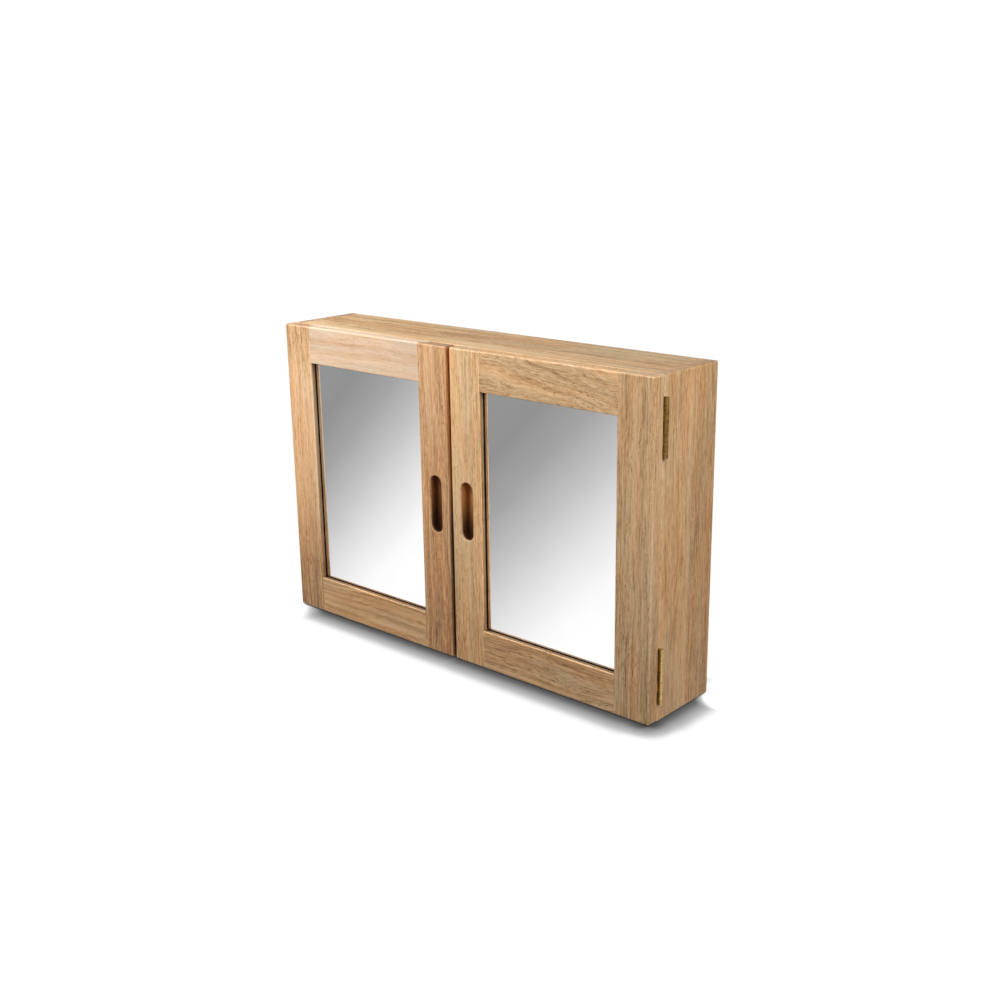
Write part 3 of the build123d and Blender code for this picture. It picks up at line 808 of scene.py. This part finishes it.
def carved(solid: Mesh, tool: Mesh, bevel: float) -> Mesh:
    """Cuts one closed mesh out of another and eases its edges.

    Args:
        solid: What is cut; it is freed.
        tool: What is taken away; it is freed.
        bevel: The width of the eased edges, in metres.

    Returns:
        The result.
    """
    things = []
    for mesh in (solid, tool):
        bmesh.ops.recalc_face_normals(mesh, faces=mesh.faces)
        things.append(in_scene("carving", mesh))
    cut = things[0].modifiers.new("cut", "BOOLEAN")
    cut.object, cut.operation, cut.solver = things[1], "DIFFERENCE", "EXACT"
    ease = things[0].modifiers.new("ease", "BEVEL")
    ease.width, ease.segments, ease.limit_method = bevel, 2, "ANGLE"
    ease.angle_limit = math.radians(40)
    graph = bpy.context.evaluated_depsgraph_get()
    result = bmesh.new()
    result.from_mesh(things[0].evaluated_get(graph).to_mesh())
    for thing in things:
        data = thing.data
        bpy.data.objects.remove(thing)
        bpy.data.meshes.remove(data)
    return result


def copies(shape: Mesh, places: Iterable[Matrix]) -> Mesh:
    """Returns one mesh with a copy of a shape at each place; the shape is freed."""
    template = bpy.data.meshes.new("copy")
    shape.to_mesh(template)
    shape.free()
    result = bmesh.new()
    for place in places:
        before = set(result.verts)
        result.from_mesh(template)
        added = [vertex for vertex in result.verts if vertex not in before]
        bmesh.ops.transform(result, matrix=place, verts=added)
    bpy.data.meshes.remove(template)
    return result


class Facing(Enum):
    """Which way a fastener made along -Z is driven, as a turn about X in degrees."""

    WALL = 90
    FRONT = -90
    UP = 180

    def at(self, place: Sequence[float], twist: float = 0.0) -> Matrix:
        """Returns the place of a fastener whose head is there, its slot turned by twist degrees."""
        turn = Matrix.Rotation(math.radians(self.value), 4, "X")
        return Matrix.Translation(place) @ turn @ Matrix.Rotation(math.radians(twist), 4, "Z")


@dataclass(frozen=True)
class WoodScrew:
    """A slotted wood screw along -Z, its head's top or rim at Z = 0."""

    head: float
    shank: float
    length: float
    head_height: float
    raised: float = 0.0
    sides: int = 28
    rim: float = 0.08 * MM
    neck_length: float = 0.2 * MM
    dome_angles: tuple[float, ...] = (0.0, 0.35, 0.7, 1.05, 1.35)
    slot_share: float = 0.19
    slot_depth_share: float = 0.45
    slot_ease: float = 0.04 * MM
    thread_pitch: float = 1.1 * MM
    thread_depth_share: float = 0.2
    thread_steepness: float = 5.0
    steps_per_turn: int = 8
    plain_share: float = 0.35
    point_length: float = 2.2 * MM
    point_share: float = 0.12

    def mesh(self) -> Mesh:
        """Returns the screw with its thread and its slot."""
        body = bmesh.new()
        turned(body, self.head_profile(), self.sides)
        head = carved(body, self.slot(), self.slot_ease)
        self.add_thread(head)
        return head

    def head_profile(self) -> list[Pair]:
        """Returns the head's profile: a countersunk one, or a rounded one if it is raised."""
        radius, neck = self.head / 2, self.shank / 2
        if self.raised:
            dome = [(radius * math.cos(a), self.raised * math.sin(a)) for a in self.dome_angles]
            return [(neck, -self.neck_length), (neck, 0.0), *dome]
        under = -self.head_height
        return [(neck, under - self.neck_length), (neck, under), (radius, -self.rim), (radius, 0.0)]

    def slot(self) -> Mesh:
        """Returns the bar that cuts the slot."""
        tool = bmesh.new()
        half = self.head * self.slot_share / 2
        floor = self.raised - self.slot_depth_share * (self.raised or self.head_height)
        boxed(tool, (-self.head, -half, floor), (self.head, half, self.raised + MM))
        return tool

    def add_thread(self, mesh: Mesh) -> None:
        """Adds the shank, whose radius rises and falls along a helix."""
        start = 0.0 if self.raised else -self.head_height
        count = int((self.length + start) / self.thread_pitch * self.steps_per_turn)
        rings = []
        for step in range(count, -1, -1):
            height = start - step * self.thread_pitch / self.steps_per_turn
            point = max(0.0, (self.length + height) / self.point_length)
            body = self.shank / 2 * min(1.0, self.point_share + (1 - self.point_share) * point)
            threaded = -height > self.length * self.plain_share
            ring = []
            for side in range(self.sides):
                angle = 2 * math.pi * side / self.sides
                phase = (step / self.steps_per_turn + side / self.sides) % 1.0
                crest = max(0.0, 1 - abs(phase - 0.5) * self.thread_steepness)
                radius = body * (1 - self.thread_depth_share * (1 - crest)) if threaded else body
                ring.append((radius * math.cos(angle), radius * math.sin(angle), height))
            rings.append(ring)
        skinned(mesh, rings)


@dataclass(frozen=True)
class Nail:
    """A small nail along -Z; without a head it is a plain pin."""

    shank: float
    length: float
    head: float = 0.0
    head_height: float = 0.0
    sides: int = 20
    tip: float = 0.04 * MM
    taper: float = 1.6 * MM
    rim: float = 0.12 * MM
    ease: float = 0.1 * MM

    def mesh(self) -> Mesh:
        """Returns the nail, its head slightly domed."""
        body = bmesh.new()
        radius, wide = self.shank / 2, self.head / 2
        point = [(self.tip, -self.length), (radius, self.taper - self.length)]
        under = [(radius, -self.head_height), (wide, -self.head_height * 0.8)]
        headed = [*under, (wide, -self.rim), (wide * 0.85, 0.0)]
        plain = [(radius, -self.ease), (radius * 0.8, 0.0)]
        turned(body, point + (headed if self.head else plain), self.sides)
        return body


@dataclass
class Hinge:
    """A brass butt hinge on one side of the cabinet, with rolled knuckles and a loose pin."""

    side: Side
    level: str
    leaf_thickness: float = 1.2 * MM
    seam: float = 0.6 * MM
    knuckles: int = 5
    knuckle_gap: float = 0.5 * MM
    roll_slit: float = 0.25 * MM
    edge_ease: float = 0.1 * MM
    screw_inset: float = 5.4 * MM
    screw_end: float = 9.0 * MM
    screw_head: float = 4.9 * MM
    screw_hole_share: float = 0.52
    notch: float = 0.6 * MM
    segments: int = 30
    pin_dome: float = 0.3 * MM

    def __post_init__(self) -> None:
        """Reads the hinge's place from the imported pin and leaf."""
        low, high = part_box(f"hinge_pin_{self.side.word}_{self.level}")
        leaf_low, leaf_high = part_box(f"hinge_cabinet_leaf_{self.side.word}_{self.level}")
        self.axis = box_middle(low, high)
        self.pin_radius = (high.x - low.x) / 2
        self.pin_low, self.pin_high = low.z, high.z
        self.low, self.high = leaf_low.z, leaf_high.z
        inner, outer = sorted((abs(leaf_low.x), abs(leaf_high.x)))
        self.barrel = outer - abs(self.axis.x)
        self.reach = abs(self.axis.x) - inner
        self.edge = abs(self.axis.x) - half_width()

    def build(self, brass: Material) -> None:
        """Builds both leaves and the pin."""
        word = self.side.word
        case_leaf = f"hinge_cabinet_leaf_{word}_{self.level}"
        door_leaf = f"{word}_door_hinge_leaf_{self.level}"
        built(case_leaf, "rolled", self.leaf(1, 0), brass, "case")
        built(door_leaf, "rolled", self.leaf(-1, 1), brass, f"{word}_door")
        built(f"hinge_pin_{word}_{self.level}", "turned", self.pin(), brass, "case")

    def outline(self, direction: int) -> list[Pair]:
        """Returns a leaf's section: a plate whose end is rolled round the pin.

        Args:
            direction: +1 for the case's leaf, -1 for the door's.

        Returns:
            The section's corners, about the pin's middle, with the plate at -X.
        """
        near, far = self.seam / 2, self.seam / 2 + self.leaf_thickness
        bore = self.barrel - self.leaf_thickness
        gap = near - self.roll_slit
        plate_out, plate_in, end_out, end_in = (
            math.degrees(math.asin(height / radius))
            for height, radius in ((far, self.barrel), (near, bore), (gap, self.barrel), (gap, bore))
        )
        outer = arc(self.barrel, 180 - plate_out, -180 - end_out, self.segments)
        inner = arc(bore, -180 - end_in, 180 - plate_in, self.segments)
        points = [(-self.reach, far), *outer, *inner, (-self.reach, near)]
        return [(x, direction * y) for x, y in points]

    def leaf(self, direction: int, first: int) -> Mesh:
        """Returns one leaf in its place.

        Args:
            direction: +1 for the case's leaf, -1 for the door's.
            first: The number of the leaf's lowest knuckle.

        Returns:
            The leaf's mesh.
        """
        solid, tool = bmesh.new(), bmesh.new()
        drawn_out(solid, self.outline(direction), self.low, self.high)
        pitch = (self.high - self.low) / self.knuckles
        room = self.barrel + MM
        for number in range(1 - first, self.knuckles, 2):
            below = self.knuckle_gap / 2 if number else MM
            above = self.knuckle_gap / 2 if number < self.knuckles - 1 else MM
            low, high = self.low + number * pitch - below, self.low + (number + 1) * pitch + above
            boxed(tool, (-self.edge - self.notch, -room, low), (room, room, high))
        head, thick = self.screw_head / 2, self.leaf_thickness
        hole = head * self.screw_hole_share
        for height in self.screw_heights():
            place = self.screw_place(direction, height) - Vector((self.axis.x, self.axis.y, 0.0))
            place.x = -abs(place.x)
            facing = Facing.WALL if direction > 0 else Facing.FRONT
            added = turned(tool, [(hole, -2 * thick), (hole, -thick), (head, 0.0), (head, MM)], 28)
            bmesh.ops.transform(tool, matrix=facing.at(place), verts=added)
        mesh = carved(solid, tool, self.edge_ease)
        flip = Matrix.Scale(-1, 4, (1, 0, 0)) if self.side is Side.LEFT else Matrix.Identity(4)
        home = Matrix.Translation((self.axis.x, self.axis.y, 0.0)) @ flip
        bmesh.ops.transform(mesh, matrix=home, verts=mesh.verts)
        return mesh

    def pin(self) -> Mesh:
        """Returns the pin, with a low dome at each end."""
        mesh = bmesh.new()
        steepness = 1.5 * self.pin_dome
        ends = [(self.pin_radius * share, steepness * (1 - share)) for share in (0.35, 0.75, 1.0)]
        low = [(radius, self.pin_low + height) for radius, height in ends]
        high = [(radius, self.pin_high - height) for radius, height in reversed(ends)]
        added = turned(mesh, low + high, 32)
        bmesh.ops.translate(mesh, verts=added, vec=(self.axis.x, self.axis.y, 0.0))
        return mesh

    def screw_heights(self) -> list[float]:
        """Returns the height of each screw."""
        low, high = self.low + self.screw_end, self.high - self.screw_end
        return [low, (low + high) / 2, high]

    def screw_place(self, direction: int, height: float) -> Vector:
        """Returns the middle of a screw's head on the leaf that lies in that direction."""
        x = self.side.value * (half_width() - self.screw_inset)
        return Vector((x, self.axis.y + direction * self.seam / 2, height))


@dataclass
class Case:
    """The case: its boards, its back panel, its catches and the screws in it."""

    steel: Material
    plastic: Material
    ceramic: Material
    catch_screw: WoodScrew = WoodScrew(5.4 * MM, 2.5 * MM, 8.5 * MM, 0.0, raised=1.8 * MM)
    catch_twists: Pair = (25.0, -40.0)
    back_nail: Nail = Nail(1.4 * MM, 15 * MM, 3.0 * MM, 0.8 * MM)
    side_nail_shares: Pair = (0.25, 0.75)
    rail_nail_shares: Point = (-0.6, 0.0, 0.6)

    def boards(self) -> dict[str, tuple[Wood, Cut, str]]:
        """Returns each board's wood, how it lies and the axes without worn, highlit edges."""
        tint = (0.98, 0.975, 0.94)
        side = {"stave": 56.08, "stave_mix": 0.0, "stave_step": 0.13, "end_ticks": 0.5}
        figured = {"stave": 34.0, "sway": 2.0, "streaks": 1.1, "lines": 1.0}
        top = Wood(11.0, (0.885, 0.955, 0.98), (20, 95), depth=0.05, **figured)
        right = Wood(41.0, tint, (-30, 110), sway=2.0, lines=0.5, pores=0.3, **side)
        left = Wood(47.0, tint, (30, -110), sway=2.5, lines=0.6, **side)
        panel = Wood(53.0, heart=(90, 30), sway=9.0, ring_width=9.0, pores=0.2)
        return {
            "top_board": (top, Cut.LEVEL, "x"),
            "bottom_board": (Wood(23.0, heart=(-20, -90), stave=36.0, sway=3.0), Cut.LEVEL, "x"),
            "shelf": (Wood(31.0, heart=(10, 80), stave=30.0), Cut.LEVEL, "x"),
            "hanging_rail": (Wood(37.0, heart=(15, 60)), Cut.RAIL, "x"),
            "side_board_right": (right, Cut.UPRIGHT, ""),
            "side_board_left": (left, Cut.UPRIGHT, ""),
            "back_panel": (panel, Cut.RAIL, ""),
        }

    def build(self) -> None:
        """Dresses the boards and builds what fastens them."""
        for node, (wood, cut, skip) in self.boards().items():
            dress(node, BoardSketch(node, wood, Board(cut, *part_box(node), skip)).build())
        for side in Side:
            dress(f"catch_housing_{side.word}", self.plastic)
            dress(f"catch_magnet_{side.word}", self.ceramic)
            dress(f"catch_pole_plates_{side.word}", self.steel)
        self.build_back_nails()
        self.build_catch_screws()

    def build_back_nails(self) -> None:
        """Builds the nails of the back panel, along its rabbet."""
        low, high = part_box("back_panel_pins")
        inset = self.back_nail.head / 2
        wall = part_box("back_panel")[1].y
        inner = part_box("hanging_rail")[1].x
        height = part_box("side_board_right")[1].z
        half = high.x - inset
        places = [(side.value * half, height * share) for side in Side for share in self.side_nail_shares]
        rows = (low.z + inset, high.z - inset)
        places += [(inner * share, z) for share in self.rail_nail_shares for z in rows]
        mesh = copies(self.back_nail.mesh(), [Facing.FRONT.at((x, wall, z)) for x, z in places])
        built("back_panel_pins", "domed", mesh, self.steel, "case")

    def build_catch_screws(self) -> None:
        """Builds the round-headed screws of both catches."""
        low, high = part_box("catch_screws")
        base = low.z + self.catch_screw.raised
        spots = []
        for side in Side:
            middle = box_middle(*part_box(f"catch_housing_{side.word}"))
            outer = high.x - self.catch_screw.head / 2 - abs(middle.x)
            for sign, twist in zip((-1, 1), self.catch_twists):
                spots.append(Facing.UP.at((middle.x + sign * outer, middle.y, base), twist))
        mesh = copies(self.catch_screw.mesh(), spots)
        built("catch_screws", "slotted", mesh, self.steel, "case")


@dataclass
class Door:
    """One mirror door: its frame, its mirror with what holds it, and its strike plate."""

    side: Side
    steel: Material
    hardboard: Material
    silver_inset: float = 0.8 * MM
    glass_ease: float = 0.25 * MM
    strike_screw: WoodScrew = WoodScrew(5.6 * MM, 2.8 * MM, 9.0 * MM, 1.0 * MM)
    strike_twist: float = 30.0
    bead_pin: Nail = Nail(1.2 * MM, 13.0 * MM)
    bead_pin_share: float = 0.22
    bead_width: float = 6.3 * MM
    hollow_reach: float = 37.0

    @property
    def body(self) -> str:
        """The door's body."""
        return f"{self.side.word}_door"

    def node(self, part: str) -> str:
        """Returns the node's name of one of the door's parts."""
        return f"{self.body}_{part}"

    def frame_woods(self) -> dict[str, Wood]:
        """Returns the wood of each part of the door's frame."""
        olive = (0.95, 0.98, 1.0)
        if self.side is Side.LEFT:
            rosy, creamy = (1.02, 0.95, 0.93), (0.88, 1.01, 1.32)
            ringed = {"ring_width": 3.8, "lines": 0.9, "rings": 0.2, "fibres": 1.0, "pores": 0.2}
            ends = {"end_depth": 0.3, "end_ticks": 0.55}
            # The left door's stiles get painted shade towards the floor, and its hinge stile also towards
            # its top.
            pale, shaded = (1.04, 1.02, 1.04), {"depth": -0.1, "foot_shade": 0.42, "brow": 0.28}
            return {
                "hinge_stile": Wood(61.0, pale, (160, 60), sway=2.0, **shaded),
                "meeting_stile": Wood(67.0, rosy, (-150, 70), sway=2.0, depth=0.07, foot_shade=0.14, **ends),
                "top_rail": Wood(71.0, creamy, (8, 80), 6.0, lines=0.4, fibres=0.9, pores=0.3, depth=-0.12),
                "bottom_rail": Wood(73.0, heart=(-25, 55), sway=8.0, depth=0.03, lip_shade=0.3, **ringed),
            }
        pale, amber = (1.05, 1.05, 1.02), (0.85, 0.6, 0.34)
        plain = {"streaks": 0.7, "pores": 0.5, "end_depth": -0.2, "end_ticks": 0.1}
        # The meeting stile's finger pull takes painted shade in this tint at its top, and the stile painted
        # shade towards the floor.
        shaded_pull = {"depth": -0.09, "foot_shade": 0.18, "end_depth": 0.1, "oil": amber}
        porous = {"pores": 0.75, "pore_length": 6.0, "lines": 1.0}
        long_pores = {"pores": 0.7, "pore_length": 10.0}
        return {
            "hinge_stile": Wood(79.0, olive, (-130, 90), sway=2.5, depth=0.06, **plain),
            "meeting_stile": Wood(83.0, pale, (170, 50), sway=1.5, streaks=0.5, **shaded_pull),
            "top_rail": Wood(89.0, heart=(30, 60), slope=0.1, sway=7.0, **porous),
            "bottom_rail": Wood(97.0, olive, (25, 60), sway=4.0, depth=0.05, lip_shade=0.3, **long_pores),
        }

    def woods(self) -> dict[str, Wood]:
        """Returns each wooden part's wood."""
        bead = Wood(101.0 + self.side.value, heart=(60, 40), ring_width=3.0, sway=1.0)
        ends = ("top", "bottom", "hinge_side", "meeting_side")
        return self.frame_woods() | {f"bead_{end}": bead for end in ends}

    def sight(self, part: str) -> tuple[int, float] | None:
        """Returns the axis and the place of the edge that a frame part turns to the mirror."""
        low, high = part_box(self.node(part))
        inner, outer = (high.x, low.x) if self.side is Side.RIGHT else (low.x, high.x)
        edges = {"bottom_rail": (2, high.z), "top_rail": (2, low.z)}
        edges |= {"meeting_stile": (0, inner), "hinge_stile": (0, outer)}
        return edges.get(part)

    def board(self, part: str) -> Board:
        """Returns where a wooden part lies; rails and level beads run across, the others up."""
        across = part in ("top_rail", "bottom_rail", "bead_top", "bead_bottom")
        skip = "x" if across else "" if part.endswith("stile") else "z"
        hollow = self.hollow_reach if part == "meeting_stile" else 0.0
        low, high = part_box(self.node(part))
        return Board(Cut.RAIL if across else Cut.STILE, low, high, skip, hollow, self.sight(part))

    def build(self) -> None:
        """Dresses the door's frame and builds its mirror and its fasteners."""
        for part, wood in self.woods().items():
            node = self.node(part)
            dress(node, BoardSketch(node, wood, self.board(part)).build())
        dress(self.node("mirror_backing"), self.hardboard)
        dress(self.node("strike_plate"), self.steel)
        self.build_mirror()
        self.build_strike_screw()
        self.build_bead_pins()

    def build_mirror(self) -> None:
        """Builds the mirror as one silvered block, its face set back behind the lip."""
        node = self.node("mirror")
        low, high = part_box(node)
        mesh = bmesh.new()
        boxed(mesh, (low.x, low.y + self.silver_inset, low.z), high)
        bmesh.ops.bevel(mesh, geom=mesh.edges[:], offset=self.glass_ease, segments=2, affect="EDGES")
        silver = Silvering().material(node, 7.0 + self.side.value, low, high)
        built(node, "silvered", mesh, silver, self.body, 20.0)

    def build_strike_screw(self) -> None:
        """Builds the screw in the middle of the strike plate."""
        low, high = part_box(self.node("strike_plate"))
        middle = box_middle(low, high)
        spot = Facing.FRONT.at((middle.x, high.y, middle.z), self.strike_twist * self.side.value)
        mesh = copies(self.strike_screw.mesh(), [spot])
        built(self.node("strike_screw"), "slotted", mesh, self.steel, self.body)

    def build_bead_pins(self) -> None:
        """Builds the headless pins that hold the beads, two in each."""
        boxes = [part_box(self.node(part)) for part in self.woods() if part.startswith("bead")]
        low = Vector(map(min, zip(*(box[0] for box in boxes))))
        high = Vector(map(max, zip(*(box[1] for box in boxes))))
        pins_low, pins_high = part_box(self.node("bead_pins"))
        depth = (pins_low.y + pins_high.y) / 2
        spots = []
        for share in (self.bead_pin_share, 1 - self.bead_pin_share):
            x, z = low.x + share * (high.x - low.x), low.z + share * (high.z - low.z)
            ends = (
                (x, low.z + self.bead_width, 0.0, "X"),
                (x, high.z - self.bead_width, math.pi, "X"),
                (low.x + self.bead_width, z, math.pi / 2, "Y"),
                (high.x - self.bead_width, z, -math.pi / 2, "Y"),
            )
            for across, up, angle, axis in ends:
                spots.append(Matrix.Translation((across, depth, up)) @ Matrix.Rotation(angle, 4, axis))
        mesh = copies(self.bead_pin.mesh(), spots)
        built(self.node("bead_pins"), "turned", mesh, self.steel, self.body)


@dataclass
class Hardware:
    """The four hinges and their screws."""

    brass: Material
    leaves: dict[str, Material]
    screw: WoodScrew = WoodScrew(4.8 * MM, 2.4 * MM, 11.0 * MM, 1.2 * MM)
    twist_rate: int = 7919

    def build(self) -> None:
        """Builds the hinges, then the screws of the case and of each door."""
        hinges = [Hinge(side, level) for side in Side for level in ("lower", "upper")]
        for hinge in hinges:
            hinge.build(self.leaves[hinge.level])
        self.build_screws("cabinet_hinge_screws", "case", hinges, 1)
        for side in Side:
            own = [hinge for hinge in hinges if hinge.side is side]
            self.build_screws(f"{side.word}_door_hinge_screws", f"{side.word}_door", own, -1)

    def build_screws(self, node: str, body: str, hinges: Sequence[Hinge], direction: int) -> None:
        """Builds the screws of one side of some hinges.

        Args:
            node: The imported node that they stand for.
            body: The body that they are driven into.
            hinges: The hinges that they hold.
            direction: +1 for the case's leaves, -1 for the doors'.
        """
        facing = Facing.WALL if direction > 0 else Facing.FRONT
        spots = []
        for hinge in hinges:
            for height in hinge.screw_heights():
                twist = 360 * math.sin(height * self.twist_rate + hinge.side.value)
                spots.append(facing.at(hinge.screw_place(direction, height), twist))
        built(node, "slotted", copies(self.screw.mesh(), spots), self.brass, body)


@dataclass(frozen=True)
class Softbox:
    """A square softbox: its middle, the point that it faces, its side and its power in watts."""

    name: str
    place: Point
    aim: Point
    size: float
    power: float
    colour: Colour = (1.0, 0.985, 0.96)

    def build(self) -> None:
        """Adds the light."""
        data = bpy.data.lights.new(self.name, "AREA")
        data.size, data.energy, data.color = self.size, self.power, self.colour
        light = bpy.data.objects.new(self.name, data)
        turn = (Vector(self.aim) - Vector(self.place)).to_track_quat("-Z", "Y")
        light.matrix_world = Matrix.Translation(self.place) @ turn.to_matrix().to_4x4()
        bpy.context.scene.collection.objects.link(light)


@dataclass(frozen=True)
class Pool:
    """A round spot of the floor whose light is raised or lowered, full up to the inner radius."""

    centre: Point
    inner: float
    outer: float
    strength: float


@dataclass(frozen=True)
class Floor:
    """The pale floor, which greys where the cabinet stands close over it, with painted light and shade at a
    few fixed spots.
    """

    reach: float = 14.0
    drop: float = 0.4 * MM
    shadow_reach: float = 45 * MM
    glow: float = 1.02
    # Painted light and shade: fixed spots that lighten or darken the floor's shadow; they stay put when the
    # doors open.
    pools: tuple[Pool, ...] = (
        Pool((-0.305, -0.062, 0.0), 0.012, 0.075, 0.5),
        Pool((0.307, 0.066, 0.0), 0.02, 0.045, 0.5),
        Pool((0.289, -0.06, 0.0), 0.0, 0.03, -0.13),
    )
    places: tuple[float, ...] = (0.0, 0.5, 0.6, 0.74, 0.84, 0.9, 0.94)
    greys: tuple[float, ...] = (0.02, 0.085, 0.15, 0.4, 0.52, 0.76, 1.0)

    def build(self) -> None:
        """Adds the floor."""
        mesh = bmesh.new()
        corners = [(-1, -1), (1, -1), (1, 1), (-1, 1)]
        mesh.faces.new([mesh.verts.new((x * self.reach, y * self.reach, -self.drop)) for x, y in corners])
        floor = in_scene("floor", mesh)
        floor.data.materials.append(self.material())
        floor.visible_glossy = floor.visible_diffuse = floor.visible_shadow = False

    def material(self) -> Material:
        """Returns an even white with a soft shadow under what stands on it, clear from below."""
        material = bpy.data.materials.new("floor")
        tree = Tree(material, "Material", "MixShader")
        spot = tree.add("TexCoord", {}, "Object")
        level = tree.add("AmbientOcclusion", {"Distance": self.shadow_reach}, "AO", samples=16)
        for pool in self.pools:
            apart = tree.add("VectorMath", {0: spot, 1: pool.centre}, "Value", operation="DISTANCE")
            level = tree.step(apart, (pool.outer, pool.inner)) * pool.strength + level
        grey = tree.ramp(level, greys(self.places, self.greys))
        back = tree.add("NewGeometry", {}, "Backfacing")
        glow = tree.add("Emission", {"Color": grey, "Strength": self.glow})
        tree.feed(tree.shader, {0: back, 1: glow, 2: tree.add("BsdfTransparent", {})})
        return material


@dataclass(frozen=True)
class Surroundings:
    """What the cabinet sees: white to the eye, soft from above, graded panels in its mirrors.

    The panels are laid out on the plane in front of the cabinet at distance 1. Each mirror
    sees its own panel, whose outer edge and width are given; the panels meet at the split.
    """

    nearest: float = 0.05
    left_panel: Pair = (1.1746, 0.1416)
    right_panel: Pair = (0.8941, 0.143)
    split: float = 0.963
    top: float = 0.3055
    height: float = 0.235
    run_limits: Pair = (-0.2, 1.3)
    run_share: float = 0.6
    places: tuple[float, ...] = (0.0, 0.1, 0.27, 0.46, 0.64, 0.82, 1.0)
    greys: tuple[float, ...] = (0.31, 0.30, 0.39, 0.59, 0.82, 1.02, 1.08)
    dome_places: tuple[float, ...] = (0.0, 0.45, 0.55, 1.0)
    dome_greys: tuple[float, ...] = (0.03, 0.05, 0.1, 0.16)
    ceiling: Colour = (0.8, 0.8, 0.8)
    backdrop: Colour = (1.02, 1.02, 1.02)

    def build(self) -> None:
        """Adds the surroundings."""
        world = bpy.data.worlds.new("studio")
        bpy.context.scene.world = world
        bpy.context.scene.view_settings.view_transform = "Standard"
        tree = Tree(world, "World", "Background")
        x, y, z = tree.split(tree.add("TexCoord", {}, "Generated"))
        dome = tree.ramp(z * 0.5 + 0.5, greys(self.dome_places, self.dome_greys))
        high = tree.math("MULTIPLY_ADD", z, 2.2, -0.2, clamp=True)
        glossy = tree.mix(high, self.panels(tree, x, y, z), self.ceiling)
        unseen = tree.mix(tree.add("LightPath", {}, "Is Glossy Ray"), dome, glossy)
        seen = tree.mix(tree.add("LightPath", {}, "Is Camera Ray"), unseen, self.backdrop)
        tree.feed(tree.shader, {"Color": seen})

    def panels(self, tree: Tree, x: Signal, y: Signal, z: Signal) -> Signal:
        """Returns the grey of the panels in a direction.

        Args:
            tree: The tree of the surroundings.
            x: The direction's part to the right.
            y: Its part to the wall.
            z: Its part upwards.

        Returns:
            The grey, as a colour.
        """
        forward = tree.math("MAXIMUM", abs(y), self.nearest)
        sideways = x * -1.0 / forward
        depth = (z * -1.0 / forward - self.top) / self.height
        left, right = ((edge - sideways) / width for edge, width in (self.left_panel, self.right_panel))
        on_right = tree.math("LESS_THAN", sideways, self.split)
        run = left + on_right * -1.0 * (left - right)
        least, most = self.run_limits
        run = tree.math("MAXIMUM", tree.math("MINIMUM", run, most), least)
        place = tree.math("DIVIDE", run * self.run_share + depth, 1 + self.run_share, clamp=True)
        return tree.ramp(place, greys(self.places, self.greys))


def greys(places: Sequence[float], levels: Sequence[float]) -> list[tuple[float, Colour]]:
    """Returns the stops of a ramp of greys."""
    return [(place, (level, level, level)) for place, level in zip(places, levels)]


@dataclass(frozen=True)
class Studio:
    """The camera, the lights and what stands round the cabinet; angles are in degrees."""

    azimuth: float = 41.87
    elevation: float = 16.66
    roll: float = -0.81
    eye: Point = (1.00259, -1.08978, 0.63)
    focal_pixels: float = 1282.5
    picture_pixels: float = 1000.0
    sensor: float = 36.0
    softboxes: tuple[Softbox, ...] = (
        Softbox("key_softbox", (-0.5, -0.75, 0.95), (-0.15, 0.0, 0.36), 0.5, 8.6),
        Softbox("top_softbox", (-0.35, -0.35, 0.75), (-0.15, -0.05, 0.34), 0.3, 2.4),
        Softbox("side_softbox", (1.3, -0.45, 0.9), (0.25, 0.0, 0.25), 0.7, 11.5),
        Softbox("corner_softbox", (0.75, -0.3, 0.7), (0.28, 0.0, 0.34), 0.3, 1.2),
        Softbox("back_softbox", (-0.9, 1.1, 0.1), (0.0, 0.0, 0.19), 0.5, 16.0),
    )

    def build(self) -> None:
        """Sets up the camera, the floor, the surroundings and the lights."""
        self.add_camera()
        Floor().build()
        Surroundings().build()
        for softbox in self.softboxes:
            softbox.build()

    def add_camera(self) -> None:
        """Adds the camera at the picture's viewing angle."""
        turn, tilt, roll = (math.radians(a) for a in (self.azimuth, self.elevation, self.roll))
        back = Vector((math.sin(turn) * math.cos(tilt), -math.cos(turn) * math.cos(tilt), math.sin(tilt)))
        level = Vector((0, 0, 1)).cross(back).normalized()
        upright = back.cross(level)
        right = math.cos(roll) * level + math.sin(roll) * upright
        up = math.cos(roll) * upright - math.sin(roll) * level
        data = bpy.data.cameras.new("camera")
        data.sensor_width = self.sensor
        data.lens = self.sensor * self.focal_pixels / self.picture_pixels
        data.clip_end = 100.0
        camera = bpy.data.objects.new("camera", data)
        camera.matrix_world = Matrix.Translation(self.eye) @ Matrix((right, up, back)).transposed().to_4x4()
        bpy.context.scene.collection.objects.link(camera)
        bpy.context.scene.camera = camera


def main() -> None:
    """Builds the looks in order: the case, the doors, the hardware and the studio."""
    logging.basicConfig(level=logging.INFO, format="%(name)s: %(message)s")
    brass, steel = BRASS.material("brass"), STEEL.material("steel")
    plastic, ceramic = PLASTIC.material("catch_plastic"), CERAMIC.material("magnet_ceramic")
    hardboard = HARDBOARD.material("backing_board")
    Case(steel, plastic, ceramic).build()
    for side in Side:
        Door(side, steel, hardboard).build()
    # Painted shade darkens the hinges' brass in front of this Y, on the barrel's door side.
    barrel_front = -43.0
    lower = BRASS.material("brass_lower", 3.0, barrel_front)
    upper = SHADED_BRASS.material("brass_upper", 9.0, barrel_front)
    Hardware(brass, {"lower": lower, "upper": upper}).build()
    Studio().build()


if __name__ == "__main__":
    main()
